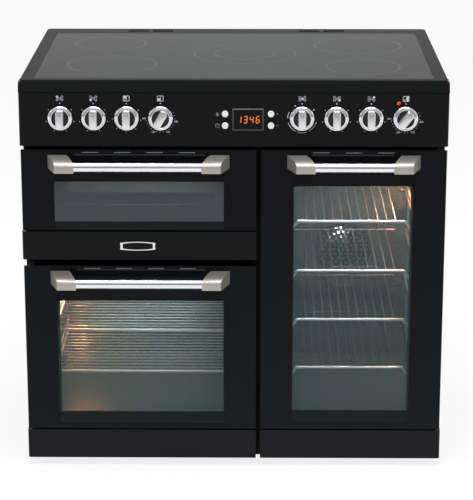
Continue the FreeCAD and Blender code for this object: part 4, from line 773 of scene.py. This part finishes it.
for door in DOORS:
    build_handle(door)
print("handles on", ", ".join(DOORS))

# %% [markdown]
# ## Finishes on the solids that stay
# Sheet-metal panels, cavities, shelves and everything inside already have their true forms as solids.
# They keep them and only get a material. One table says which, so a reader finds any piece's finish
# in one place.

# %% Give each solid its finish
node_finish = {
    "side_panel_left": panel_black,
    "side_panel_right": panel_black,
    "plinth_panels": panel_black,
    "badge_panel": enamel,
    "upper_trim_band": enamel,
    "control_fascia": enamel,
    "front_frame": frame_black,
    "back_panel": zinc_sheet,
    "base_panel": zinc_sheet,
    "hob_tray": zinc_sheet,
    "door_hinges": zinc_sheet,
    "fan_motor": zinc_sheet,
    "mains_inlet_box": black_plastic,
    "levelling_feet": black_plastic,
    "switch_units": black_plastic,
    "timer_window": timer_black,
    "hob_frame": hob_trim,
    "hob_glass": hob_black,
    "radiant_heaters": heater_fibre,
    "heating_elements": sheath,
    "fan_impeller": fan_steel,
    "fan_cover": cover_enamel,
    "grill_liner": grill_enamel,
    "main_oven_liner": cavity_enamel,
    "tall_oven_liner": cavity_enamel,
    "grill_pan": pan_enamel,
    "side_runners": wire_chrome,
    "main_oven_racks": main_shelf_wire,
    "tall_oven_racks": tall_shelf_wire,
    "grill_rack": grill_shelf_wire,
    "door_seals": seal_rubber,
    "lamp_lenses": lamp_glass,
    "badge_plate": black_plastic,
}
for door in DOORS:
    node_finish[door + "_frame"] = door_steel
    node_finish[door + "_inner_glass"] = inner_pane
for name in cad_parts:
    if name.endswith("_button"):
        node_finish[name] = button_plastic
for name, material in node_finish.items():
    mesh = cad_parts[name].data
    mesh.materials.clear()
    mesh.materials.append(material)
print(f"{len(node_finish)} solids finished")

# %% [markdown]
# ## Door glass
# Each door is faced with a plate of glass with ground edges. It is printed black except for its
# window, and thin bright strips lie just under its top edge, where the door's vent slots are. The
# plate is a bevelled box rather than the bare solid, because a ground edge catches a thin line of
# light that shows where one door ends.

# %% Sizes of the windows and the strips
WINDOWS = {
    # margins at the sides, bottom and top, the strip's height, the tint and how far it covers the window
    "grill_door": ((69, 2, 69), 18, (80, 88, 93), 0.7),
    "main_oven_door": ((69, 13, 78), 26, (58, 80, 82), 0.26),
    "tall_oven_door": ((69, 16, 78), 27, (60, 76, 82), 0.26),
}
VENT_COUNTS = {"grill_door": 4, "main_oven_door": 4, "tall_oven_door": 3}
VENT_LENGTH = 34 * MM
VENT_PITCH = 68 * MM
VENT_BELOW_TOP = 5.6 * MM
VENT_HALF_HEIGHT = 0.7 * MM
VENT_PROUD = 0.15 * MM
GROUND_EDGE = 0.8 * MM
print("windows in", ", ".join(WINDOWS))


# %% Build the panes and the strips
def build_pane(door):
    node = door + "_glass"
    low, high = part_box(node)
    bm = bmesh.new()
    add_box(bm, low, high, GROUND_EDGE)
    print_and_window = printed_glass(door + "_print", node, *WINDOWS[door])
    pane = finish_piece(bm, door + "_pane", door, [print_and_window], FLAT)
    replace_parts(pane, node)


def build_vent_strips(door):
    low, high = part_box(door + "_glass")
    bar_low, bar_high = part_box(door + "_handle_bar")
    middle = (bar_low.x + bar_high.x) / 2
    z = high.z - VENT_BELOW_TOP
    bm = bmesh.new()
    for index in range(VENT_COUNTS[door]):
        left = middle + (index - (VENT_COUNTS[door] - 1) / 2) * VENT_PITCH - VENT_LENGTH / 2
        start = (left, low.y - VENT_PROUD, z - VENT_HALF_HEIGHT)
        add_box(bm, start, (left + VENT_LENGTH, low.y, z + VENT_HALF_HEIGHT))
    strips = finish_piece(bm, door + "_vent_strips", door, [print_grey])


for door in DOORS:
    build_pane(door)
    build_vent_strips(door)
print("glass on", ", ".join(DOORS))

# %% [markdown]
# ## Badge place
# The badge's place stays bare: a bowed black plate in a polished rim with thicker ends. Its outline
# is worked out from the plate's own width and height with two parabolas, one for the long sides and
# one for the ends. The rim is a band between a larger and a smaller outline, joined from four rings
# of corners, so it is closed all round.


# %% Build the badge place
def bowed_outline(half_width, half_height, bow, pinch, steps=10):
    """An outline whose long sides bow outwards and whose ends are drawn in a little."""
    outline = []
    for step in range(steps + 1):
        share = 1 - 2 * step / steps
        outline.append((half_width * share, half_height + bow * (1 - share * share)))
    for step in range(1, steps):
        share = 1 - 2 * step / steps
        outline.append((-half_width + pinch * (1 - share * share), half_height * share))
    for step in range(steps + 1):
        share = -1 + 2 * step / steps
        outline.append((half_width * share, -half_height - bow * (1 - share * share)))
    for step in range(1, steps):
        share = -1 + 2 * step / steps
        outline.append((half_width - pinch * (1 - share * share), half_height * share))
    return outline


def add_rim(bm, outer, inner, place, low, high):
    """A closed ring between two outlines with as many corners, from one height to another."""
    rings = []
    for outline, height in ((outer, low), (outer, high), (inner, high), (inner, low)):
        rings.append([bm.verts.new(place + Vector((x, -height, z))) for x, z in outline])
    join_rings(bm, rings + rings[:1])


def build_badge():
    low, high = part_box("badge_plate")
    place = Vector(((low.x + high.x) / 2, high.y, (low.z + high.z) / 2))
    half_width = (high.x - low.x) / 2
    half_height = (high.z - low.z) / 2
    thick = high.y - low.y
    plate_thick = thick * 0.6
    bow = 2.4 * MM
    bm = bmesh.new()
    plate = bowed_outline(half_width, half_height - bow, bow, MM)
    add_prism(bm, [place + Vector((x, 0, z)) for x, z in plate], Vector((0, -plate_thick, 0)), 1)
    outer = bowed_outline(half_width - 0.8 * MM, half_height - bow - 0.8 * MM, bow, MM)
    inner = bowed_outline(half_width - 7.0 * MM, half_height - bow - 2.6 * MM, bow, -0.6 * MM)
    add_rim(bm, outer, inner, place, plate_thick, thick)
    badge = finish_piece(bm, "bare_badge_plate", "chassis", [polished_chrome, timer_black])
    print(f"badge place {half_width * 2000:.0f} mm wide")
    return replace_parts(badge, "badge_plate")


build_badge()

# %% [markdown]
# ## Timer
# A bevelled bezel stands round the timer's window, and the clock shows four slanted seven-segment
# digits. A font would give the wrong shapes, so each digit is put together from its segments: a
# letter names a segment, a table says where it runs on a grid one wide and two high, and each becomes
# a thin bar with pointed ends.

# %% The digits' segments and sizes
SEGMENTS = {"1": "bc", "3": "abgcd", "4": "fgbc", "6": "afgedc"}
SEGMENT_LINES = {
    "a": ((0, 2), (1, 2)),
    "b": ((1, 2), (1, 1)),
    "c": ((1, 1), (1, 0)),
    "d": ((1, 0), (0, 0)),
    "e": ((0, 0), (0, 1)),
    "f": ((0, 1), (0, 2)),
    "g": ((0, 1), (1, 1)),
}
TIME_SHOWN = "1346"
DIGIT_STEP = 7.0 * MM
DIGIT_WIDTH = 6.4 * MM
DIGIT_PITCH = 12.8 * MM
DIGITS_LEFT = 22.0 * MM  # from the window's middle to the first digit
SEGMENT_LINE = 1.6 * MM
SEGMENT_GAP = 0.9 * MM
SLANT = 0.1
PRINT = 0.12 * MM  # how far ink stands off the fascia
print("clock reads", TIME_SHOWN)


# %% Build the timer
def add_bar(bm, start, end, thickness, face):
    """A thin bar with pointed ends on the fascia, from start to end as (across, up)."""
    start, end = Vector(start), Vector(end)
    along = (end - start).normalized() * thickness / 2
    side = Vector((-along.y, along.x))
    tip = along * 0.6
    corners = [start - tip, start + side, end + side, end + tip, end - side, start - side]
    add_prism(bm, [Vector((corner.x, face, corner.y)) for corner in corners], Vector((0, -PRINT, 0)))


def build_digits(centre, face):
    bm = bmesh.new()
    for index, digit in enumerate(TIME_SHOWN):
        origin = Vector((centre.x - DIGITS_LEFT + index * DIGIT_PITCH, centre.z - DIGIT_STEP))
        for segment in SEGMENTS[digit]:
            ends = []
            for across, up in SEGMENT_LINES[segment]:
                height = up * DIGIT_STEP
                ends.append(origin + Vector((across * DIGIT_WIDTH + height * SLANT, height)))
            gap = (ends[1] - ends[0]).normalized() * SEGMENT_GAP
            add_bar(bm, ends[0] + gap, ends[1] - gap, SEGMENT_LINE, face)
    digits = finish_piece(bm, "timer_digits", "chassis", [digit_orange])


def build_bezel(centre, face, half_x, half_z):
    place = Vector((centre.x, face, centre.z))
    outer = rounded_outline(half_x, half_z, 2 * MM, 3)
    crest = rounded_outline(half_x - 1.2 * MM, half_z - 1.2 * MM, 1.6 * MM, 3)
    inner = rounded_outline(half_x - 3.6 * MM, half_z - 3.2 * MM, 0.8 * MM, 3)
    bm = bmesh.new()
    rings = []
    for outline, proud in ((outer, 0), (crest, 1.3 * MM), (inner, 0.1 * MM), (inner, 0)):
        rings.append([bm.verts.new(place + Vector((x, -proud, z))) for x, z in outline])
    join_rings(bm, rings + rings[:1])
    bezel = finish_piece(bm, "timer_bezel", "chassis", [bezel_grey])


timer_low, timer_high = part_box("timer_window")
timer_middle = (timer_low + timer_high) / 2
timer_half = (timer_high - timer_low) / 2
build_digits(timer_middle, timer_low.y)
build_bezel(timer_middle, timer_low.y, timer_half.x - 0.2 * MM, timer_half.z - 0.2 * MM)
print(f"timer window {timer_half.x * 2000:.0f} by {timer_half.z * 2000:.0f} mm")

# %% [markdown]
# ## Buttons
# Each timer button gets a domed cap with a shallow ring, over the solid's plain cylinder. A turned
# section gives both at once, and a thin stem goes back through the fascia, so that a pressed button
# doesn't float in front of its hole.

# %% Build the buttons
BUTTON_PROFILE = (
    # radius and height above the fascia, millimetres
    (0, 0),
    (6.6, 0),
    (6.8, 0.3),
    (6.8, 3.1),
    (6.3, 3.7),
    (5.2, 3.95),
    (3.4, 3.98),
    (3.1, 3.75),
    (2.7, 3.72),
    (0, 3.9),
)
STEM_RADIUS = 3.0 * MM
BUTTONS = [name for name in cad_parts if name.endswith("_timer_button")]
for name in BUTTONS:
    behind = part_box(name)[1].y - front
    bm = bmesh.new()
    add_lathe(bm, in_metres(BUTTON_PROFILE), box_middle(name), OUT, 40)
    stem = [(0, 0), (STEM_RADIUS, 0), (STEM_RADIUS, behind), (0, behind)]
    add_lathe(bm, stem, box_middle(name), -OUT, 20)
    cap = finish_piece(bm, name + "_cap", name, [button_plastic])
    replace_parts(cap, name)
print(f"{len(BUTTONS)} buttons")

# %% [markdown]
# ## Printed marks on the fascia
# Small plain symbols say which zone or compartment a knob belongs to, and dots, arcs and numbers mark
# its settings. On the real cooker they are screen-printed. An image would be the usual way, but marks
# cut as very thin pieces stay sharp at any distance and need no picture, so each is a prism about a
# tenth of a millimetre thick.


# %% Dots, arcs and numbers
def add_flat(bm, place, outline):
    """A flat mark on the fascia, from its outline as (across, up) pairs round a place."""
    add_prism(bm, [place + Vector((x, 0, z)) for x, z in outline], Vector((0, -PRINT, 0)))


def add_dot(bm, place, radius, corners=12):
    add_flat(bm, place, arc((0, 0), radius, 0, 360, corners)[:-1])


def add_band(bm, place, radius, line, start, end, steps=12):
    """A flat curved line on the fascia; its angles are in degrees clockwise from the top."""
    outer = arc((0, 0), radius + line / 2, 90 - start, 90 - end, steps)
    inner = arc((0, 0), radius - line / 2, 90 - start, 90 - end, steps)
    if end - start >= 360:
        add_rim(bm, outer[:-1], inner[:-1], place, 0, PRINT)
    else:
        add_flat(bm, place, outer + inner[::-1])


def on_dial(place, radius, degrees):
    """A spot round a knob, by its angle clockwise from the top."""
    turn = math.radians(90 - degrees)
    return place + Vector((radius * math.cos(turn), 0, radius * math.sin(turn)))


def add_words(bm, text, place, size):
    """Plain numbers or signs from Blender's own font, as thin closed letters."""
    words = bpy.data.curves.new("number", "FONT")
    words.body = text
    words.size = size
    words.align_x = "CENTER"
    words.align_y = "CENTER"
    words.extrude = PRINT / 2
    holder = bpy.data.objects.new("number", words)
    scene.collection.objects.link(holder)
    bpy.context.view_layer.update()
    mesh = bpy.data.meshes.new_from_object(holder.evaluated_get(bpy.context.evaluated_depsgraph_get()))
    mesh.transform(Matrix.Translation(place + OUT * PRINT / 2) @ Matrix.Rotation(math.radians(90), 4, "X"))
    bm.from_mesh(mesh)
    bpy.data.objects.remove(holder)
    bpy.data.curves.remove(words)
    bpy.data.meshes.remove(mesh)


# %% [markdown]
# Above every knob stands a symbol. The zone knobs show the hob's five zones as circles with their own
# zone filled, and the oven knobs show the cooker's front with their own compartment filled. Round the
# knob lies its scale: degrees for the ovens, widening arcs for the zone with two rings, and six dots
# for the rest.

# %% Sizes of the marks
ZONE_SPOTS = {
    "rear_left": (-1, 1),
    "rear_right": (1, 1),
    "front_left": (-1, -1),
    "front_right": (1, -1),
    "centre": (0, 0),
}
COMPARTMENTS = {
    # centre across and up from the symbol's middle, half width and half height, millimetres
    "grill": (-2.6, 2.4, 2.6, 2.4),
    "main": (-2.6, -2.2, 2.6, 2.6),
    "tall": (3.2, 0, 2.2, 4.7),
}
SIX_STEPS = (53, 104, 156, 206, 256, 307)  # degrees clockwise from the top, as in the rows below
GRILL_STEPS = (54, 97, 140, 182, 224, 267)
CENTRE_ARCS = ((272, 297, 1.5), (207, 254, 1.2), (161, 199, 0.9), (104, 151, 0.7))  # start, end, line in mm
DEGREE_NUMBERS = ((102, "100"), (152, "150"), (207, "200"))
SYMBOL_HEIGHT = 42.4 * MM  # from the knob's axis up to its symbol
START_MARK = 31.6 * MM  # radius of the dot at the top of each scale
SCALE_RADIUS = 29.8 * MM
print(f"scales at {SCALE_RADIUS * 1000:.1f} mm round {len(KNOBS)} knobs")


# %% Build the marks
def zone_symbol(bm, place, filled):
    """Five small circles for the hob's zones, with the knob's own zone filled."""
    for zone, (across, up) in ZONE_SPOTS.items():
        centre = place + Vector((across * 5.2 * MM, 0, up * 3.1 * MM))
        if zone == filled:
            add_dot(bm, centre, 2.7 * MM)
        else:
            add_band(bm, centre, 2.2 * MM, 0.7 * MM, 0, 360, 14)


def oven_symbol(bm, place, filled):
    """An outline of the cooker's front, with the knob's own compartment filled."""
    outer = rounded_outline(6.6 * MM, 6.0 * MM, 1.4 * MM, 3)
    inner = rounded_outline(5.5 * MM, 4.9 * MM, 0.8 * MM, 3)
    add_rim(bm, outer, inner, place, 0, PRINT)
    middle_x = place.x + 0.6 * MM
    add_bar(bm, (middle_x, place.z - 4.9 * MM), (middle_x, place.z + 4.9 * MM), 0.9 * MM, front)
    x, z, half_x, half_z = (value * MM for value in COMPARTMENTS[filled])
    add_flat(bm, place + Vector((x, 0, z)), rounded_outline(half_x, half_z, 0.5 * MM, 2))
    if filled != "main":
        add_band(bm, place + Vector((-2.6 * MM, 0, -2.4 * MM)), 1.4 * MM, 0.6 * MM, 0, 360, 10)


def oven_scale(bm, place):
    for degrees in range(66, 262, 13):
        add_dot(bm, on_dial(place, SCALE_RADIUS, degrees), 0.75 * MM, 8)
    for degrees, text in DEGREE_NUMBERS:
        add_words(bm, text, on_dial(place, 33.2 * MM, degrees), 5.4 * MM)
    lines = on_dial(place, 33.5 * MM, 270)
    for step in (-1.2, 0, 1.2):
        z = lines.z + step * MM
        add_bar(bm, (lines.x - 4.4 * MM, z), (lines.x + 3 * MM, z), 0.5 * MM, front)


def centre_scale(bm, place):
    for start, end, line in CENTRE_ARCS:
        add_band(bm, place, 30.4 * MM, line * MM, start, end)
    for degrees in (52, 332):
        add_dot(bm, on_dial(place, 30.8 * MM, degrees), 1.5 * MM)


def dotted_scale(bm, place, steps):
    for degrees in steps:
        add_dot(bm, on_dial(place, SCALE_RADIUS, degrees), 0.95 * MM)


def build_marks():
    bm = bmesh.new()
    for name in KNOBS:
        place = box_middle(name)
        add_dot(bm, on_dial(place, START_MARK, 0), 1.3 * MM)
        symbol = place + Vector((0, 0, SYMBOL_HEIGHT))
        if name.endswith("zone_knob"):
            zone_symbol(bm, symbol, name.replace("_zone_knob", ""))
        else:
            oven_symbol(bm, symbol, name.split("_")[0])
        if name in KNOB_TURNS:
            oven_scale(bm, place)
        elif name == "centre_zone_knob":
            centre_scale(bm, place)
        else:
            dotted_scale(bm, place, GRILL_STEPS if name == "grill_knob" else SIX_STEPS)
    marks = finish_piece(bm, "fascia_marks", "chassis", [print_white])
    return marks


build_marks()
print("symbols and scales printed")


# %% Build the signs beside the timer's buttons
SIGNS_LEFT = -64 * MM
SIGNS_RIGHT = 61 * MM


def add_bell(bm, place):
    dome = arc((0, 0), 2.6 * MM, 0, 180, 8)
    mouth = [(-2.9 * MM, -2.2 * MM), (-4.2 * MM, -3.2 * MM), (4.2 * MM, -3.2 * MM), (2.9 * MM, -2.2 * MM)]
    add_flat(bm, place, dome + mouth)
    add_dot(bm, place + Vector((0, 0, -4.2 * MM)), 0.9 * MM)


def add_clock(bm, place):
    add_band(bm, place, 4.3 * MM, 0.9 * MM, 0, 360, 20)
    add_bar(bm, (place.x, place.z), (place.x, place.z + 2.8 * MM), 0.8 * MM, front)
    add_bar(bm, (place.x, place.z), (place.x + 2.0 * MM, place.z - 1.2 * MM), 0.8 * MM, front)


def build_timer_signs():
    """A bell, a clock face, a plus and a minus beside the four buttons."""
    middle = box_middle("timer_window")
    bm = bmesh.new()
    add_bell(bm, middle + Vector((SIGNS_LEFT, 0, 12.2 * MM)))
    add_clock(bm, middle + Vector((SIGNS_LEFT, 0, -12.6 * MM)))
    plus = middle + Vector((SIGNS_RIGHT, 0, 12.5 * MM))
    minus = middle + Vector((SIGNS_RIGHT, 0, -12.5 * MM))
    for sign in (plus, minus):
        add_bar(bm, (sign.x - 2 * MM, sign.z), (sign.x + 2 * MM, sign.z), 1.1 * MM, front)
    add_bar(bm, (plus.x, plus.z - 2 * MM), (plus.x, plus.z + 2 * MM), 1.1 * MM, front)
    signs = finish_piece(bm, "timer_signs", "chassis", [print_grey])
    return signs


build_timer_signs()
print("timer signs printed")

# %% [markdown]
# ## Neon, louvres and the ring on the fan cover
# A small red dome covers the neon, slanted louvres stand in the hob's vents, and an oval ridge is
# pressed into the fan cover. The dome is turned, a louvre is a prism that fills its slot's length,
# and the ridge is a flat tube led round an oval, since embossing the cover itself would mean changing
# the solid.


# %% Build the neon, the louvres and the ridge
NEON_PLACE = Vector((344 * MM, front, 813 * MM))
NEON_RADIUS = 3.4
NEON_HEIGHT = 2.2
LOUVRES_PER_VENT = 4
LOUVRE_HALF_LENGTH = 23.2 * MM
VENT_MIDDLES = (-230 * MM, -173 * MM, 173 * MM, 230 * MM)


def build_neon():
    bm = bmesh.new()
    profile = [(0, 0)]
    for degrees in range(0, 91, 15):
        turn = math.radians(degrees)
        profile.append((NEON_RADIUS * math.cos(turn), NEON_HEIGHT * math.sin(turn)))
    add_lathe(bm, in_metres(profile), NEON_PLACE, OUT, 28)
    neon = finish_piece(bm, "neon_dome", "chassis", [neon_red])


def build_vent_louvres():
    bm = bmesh.new()
    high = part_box("hob_frame")[1]
    foot_z = high.z - 5.0 * MM
    top_z = high.z - 1.0 * MM
    for middle in VENT_MIDDLES:
        left = middle - LOUVRE_HALF_LENGTH
        for row in range(LOUVRES_PER_VENT):
            y = high.y - (41 - 7.4 * row) * MM
            corners = [(y, foot_z), (y + 1.0 * MM, foot_z), (y + 4.4 * MM, top_z), (y + 3.4 * MM, top_z)]
            section = [Vector((left, *corner)) for corner in corners]
            add_prism(bm, section, Vector((2 * LOUVRE_HALF_LENGTH, 0, 0)))
    louvres = finish_piece(bm, "hob_vent_louvres", "chassis", [hob_trim])


def add_ridge(bm, path, radius, face_y):
    """A pressed ridge: a closed tube with a flat, four-cornered section along a closed path on a wall."""
    rings = []
    for index, (x, z) in enumerate(path):
        along = (Vector(path[(index + 1) % len(path)]) - Vector(path[index - 1])).normalized()
        side = Vector((-along.y, along.x)) * radius
        ring = []
        for across, proud in ((-1, 0), (-0.5, 0.8), (0.5, 0.8), (1, 0)):
            corner = (x + side.x * across, face_y - proud * radius, z + side.y * across)
            ring.append(bm.verts.new(corner))
        rings.append(ring)
    join_rings(bm, rings + rings[:1])


def build_fan_cover_ridge():
    low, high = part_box("fan_cover")
    middle_x = (low.x + high.x) / 2
    middle_z = low.z + 136 * MM
    circle = arc((0, 0), 1.0, 0, 360, 64)[:-1]
    oval = [(middle_x + x * 68 * MM, middle_z + z * 128 * MM) for x, z in circle]
    bm = bmesh.new()
    add_ridge(bm, oval, 2.4 * MM, low.y)
    ridge = finish_piece(bm, "fan_cover_ridge", "chassis", [cover_enamel])


build_neon()
build_vent_louvres()
build_fan_cover_ridge()
print(f"neon, {LOUVRES_PER_VENT * len(VENT_MIDDLES)} louvres and a ridge made")

# %% [markdown]
# ## Screws
# Low round-headed screws hold the back and side panels. All the heads are one piece, made by the same
# short turned section at each place. They could be instances, but the export wants each piece's own
# mesh, and a head with few faces is cheap to repeat.

# %% Build the screws
SCREW_PROFILE = ((0, 0), (3.4, 0), (3.4, 0.5), (2.72, 1.2), (1.36, 1.5), (0, 1.55))  # radius, height in mm
EDGE = 14 * MM  # from a panel's edge to its screws
BACK_SCREW_ROWS = (40 * MM, 770 * MM)
BACK_EDGE_ROWS = (230 * MM, 420 * MM, 600 * MM)
SIDE_FOOT_PLACES = (-205 * MM, 40 * MM, 280 * MM)
SIDE_REAR_ROWS = (200 * MM, 460 * MM, 740 * MM)
SIDE_FOOT_HEIGHT = 34 * MM
SIDE_REAR_Y = 280 * MM


def build_screws():
    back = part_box("back_panel")[1].y
    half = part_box("back_panel")[1].x
    edges = (-half + EDGE, half - EDGE)
    columns = (edges[0], -half / 3, half / 3, edges[1])
    spots = [((x, back, z), (0, 1, 0)) for x in columns for z in BACK_SCREW_ROWS]
    spots += [((x, back, z), (0, 1, 0)) for z in BACK_EDGE_ROWS for x in edges]
    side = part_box("side_panel_right")[1].x
    for sign in (-1, 1):
        spots += [((sign * side, y, SIDE_FOOT_HEIGHT), (sign, 0, 0)) for y in SIDE_FOOT_PLACES]
        spots += [((sign * side, SIDE_REAR_Y, z), (sign, 0, 0)) for z in SIDE_REAR_ROWS]
    bm = bmesh.new()
    for place, axis in spots:
        add_lathe(bm, in_metres(SCREW_PROFILE), Vector(place), Vector(axis), 20)
    screws = finish_piece(bm, "panel_screws", "chassis", [zinc_sheet])
    print(f"{len(spots)} screws")


build_screws()

# %% [markdown]
# ## Floor and background
# The cooker stands on a white floor before a white background, as in a studio. More light would
# whiten them and wash out the cooker too. So the white comes from their materials: on camera rays,
# and on rays that metal and glass mirror or pass on, the floor glows a little and the world is white.
# The floor still takes the cooker's shadow.


# %% Build the floor and the world
FLOOR_SHARE = 0.82  # how much of the floor's seen colour is its own glow


def shows_background(tree):
    """1 on the rays that show the background: from the camera, mirrored by metal or passed on by glass."""
    path = add_node(tree, "ShaderNodeLightPath")
    kinds = ("Is Camera Ray", "Is Glossy Ray", "Is Transmission Ray")
    return [Signal(tree, path.outputs[kind]) for kind in kinds]


def build_floor():
    bm = bmesh.new()
    add_box(bm, (-9, -9, -0.02), (9, 9, 0.0))
    floor = finish_piece(bm, "floor", "chassis", [])
    floor.parent = None
    surface = Surface("floor_white", (0.94, 0.94, 0.94), 0.6)
    surface.feed("Base Color", surface.blend(surface.noise(1.0), (0.93, 0.93, 0.93), (0.96, 0.96, 0.96)))
    camera_ray, glossy_ray, passed_ray = shows_background(surface.tree)
    share = (camera_ray + glossy_ray + passed_ray).clamped() * FLOOR_SHARE
    glow = add_node(surface.tree, "ShaderNodeEmission")
    shaders = {0: share, 1: surface.shader.outputs[0], 2: glow.outputs[0]}
    mix = add_node(surface.tree, "ShaderNodeMixShader", {}, shaders)
    plug(surface.tree, mix.outputs[0], surface.tree.nodes["Material Output"].inputs["Surface"])
    floor.data.materials.append(surface.material)


def build_world():
    """White behind the cooker; in front of it a studio that is dim near the floor and bright overhead."""
    world = bpy.data.worlds.new("studio")
    scene.world = world
    world.use_nodes = True
    tree = world.node_tree
    directions = add_node(tree, "ShaderNodeTexCoord").outputs["Generated"]
    parts = add_node(tree, "ShaderNodeSeparateXYZ", {}, {0: directions})
    x, y, z = (Signal(tree, parts.outputs[axis]) for axis in range(3))
    camera_ray, glossy_ray, passed_ray = shows_background(tree)
    behind = (y * 6.0).clamped()
    white = (camera_ray + (glossy_ray + passed_ray) * behind).clamped()
    # dark flags at the far left and right keep the knobs' and bars' edges from going white
    flags = (abs(x) > 0.8) * (z < 0.3)
    studio = ((z * 1.5).clamped() * 0.7 + 0.1) * (1.0 - flags * 0.85)
    level = white + (1.0 - white) * studio
    grey = add_node(tree, "ShaderNodeCombineColor", {}, {0: level, 1: level, 2: level})
    plug(tree, grey.outputs[0], tree.nodes["Background"].inputs["Color"])


build_floor()
build_world()
print("floor and background made")

# %% [markdown]
# ## Lamps
# One large panel hangs over the cook's side, where a ceiling would be, and two narrow ones at the
# sides draw long highlights on the bars. Each cavity has a small cool panel under its roof, so that
# the shelves can be seen through the tinted windows. The two ovens also have a warm point of light
# near their lamps, and a faint cool one behind the fan cover shows up its holes. The panels outside
# could be made stronger for a brighter picture, but they stay at a level at which a colour looks as
# it is written.


# %% Add the lamps
WARM = (1.0, 0.40, 0.17)
COOL = (0.88, 0.97, 1.0)
OVERHEAD_WATTS = 62
STRIP_WATTS = 9
MAIN_LAMP_WATTS = 4.2
TALL_LAMP_WATTS = 8.5
FAN_WATTS = 0.4
BULB_RADIUS = 0.010
LINER_WATTS = {"grill_liner": 0.8, "main_oven_liner": 0.75, "tall_oven_liner": 2.2}


def add_lamp(name, kind, place, energy, tint=(1, 1, 1)):
    light = bpy.data.lights.new(name, kind)
    light.energy = energy
    light.color = tint
    lamp = bpy.data.objects.new(name, light)
    scene.collection.objects.link(lamp)
    lamp.location = place
    lamp.visible_camera = False
    return lamp


def add_panel_light(name, place, target, size, energy, tint=(1, 1, 1)):
    lamp = add_lamp(name, "AREA", place, energy, tint)
    lamp.data.shape = "RECTANGLE"
    lamp.data.size, lamp.data.size_y = size
    lamp.rotation_mode = "QUATERNION"
    lamp.rotation_quaternion = (Vector(target) - Vector(place)).to_track_quat("-Z", "Y")
    return lamp


def add_glow(name, place, energy, radius, tint):
    lamp = add_lamp(name, "POINT", place, energy, tint)
    lamp.data.shadow_soft_size = radius
    return lamp


add_panel_light("overhead", (0, -0.9, 2.9), (0, -0.1, 0.4), (2.4, 1.6), OVERHEAD_WATTS)
for side, x in (("left", -2.4), ("right", 2.4)):
    add_panel_light(side + "_strip", (x, -0.6, 0.9), (0, -0.2, 0.5), (0.5, 2.2), STRIP_WATTS)
for node, watts in LINER_WATTS.items():
    low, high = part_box(node)
    centre = (low + high) / 2
    place = (centre.x, low.y + 0.05, high.z - 0.025)
    add_panel_light(node + "_light", place, (centre.x, centre.y + 0.1, low.z), (0.24, 0.04), watts, COOL)
main_low, main_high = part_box("main_oven_liner")
add_glow("main_lamp_glow", (main_low.x + 0.045, main_high.y - 0.06, 0.352), MAIN_LAMP_WATTS, BULB_RADIUS, WARM)
tall_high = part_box("tall_oven_liner")[1]
add_glow("tall_lamp_glow", (tall_high.x - 0.028, 0.05, 0.590), TALL_LAMP_WATTS, BULB_RADIUS, WARM)
fan_low, fan_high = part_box("fan_impeller")
fan_middle = (fan_low + fan_high) / 2
behind_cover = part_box("fan_cover")[0].y + 0.006
fan_light_place = (fan_middle.x - 0.01, behind_cover, fan_middle.z + 0.035)
add_glow("fan_backlight", fan_light_place, FAN_WATTS, 0.012, COOL)
print(f"{len(bpy.data.lights)} lamps")

# %% [markdown]
# ## Camera
# The photograph was taken with the film plane upright, which keeps the cooker's sides parallel. A
# large shift would do the same here, but it would cut the cooker off in every other view. So the
# camera tilts down with a small shift, and its place and lens are the ones that bring the outline
# closest to the photograph's.

# %% Place the camera
SENSOR_WIDTH = 36.0  # millimetres
PHOTO_HEIGHT = 500  # pixels along the photograph's longer side
FOCAL_LENGTH = 1973.9  # pixels
TILT = 15.54  # degrees below level
TURN = 0.5  # degrees towards the cooker's left
CAMERA_PLACE = (0.041, -4.300, 1.7005)
camera_data = bpy.data.cameras.new("camera")
camera = bpy.data.objects.new("camera", camera_data)
scene.collection.objects.link(camera)
scene.camera = camera
camera_data.sensor_width = SENSOR_WIDTH
camera_data.lens = SENSOR_WIDTH * FOCAL_LENGTH / PHOTO_HEIGHT
camera_data.shift_y = -0.08
camera_data.clip_end = 60
camera.location = CAMERA_PLACE
camera.rotation_euler = (math.radians(90 - TILT), 0, math.radians(TURN))
scene.view_settings.view_transform = "Standard"
print(f"lens {camera_data.lens:.1f} mm")
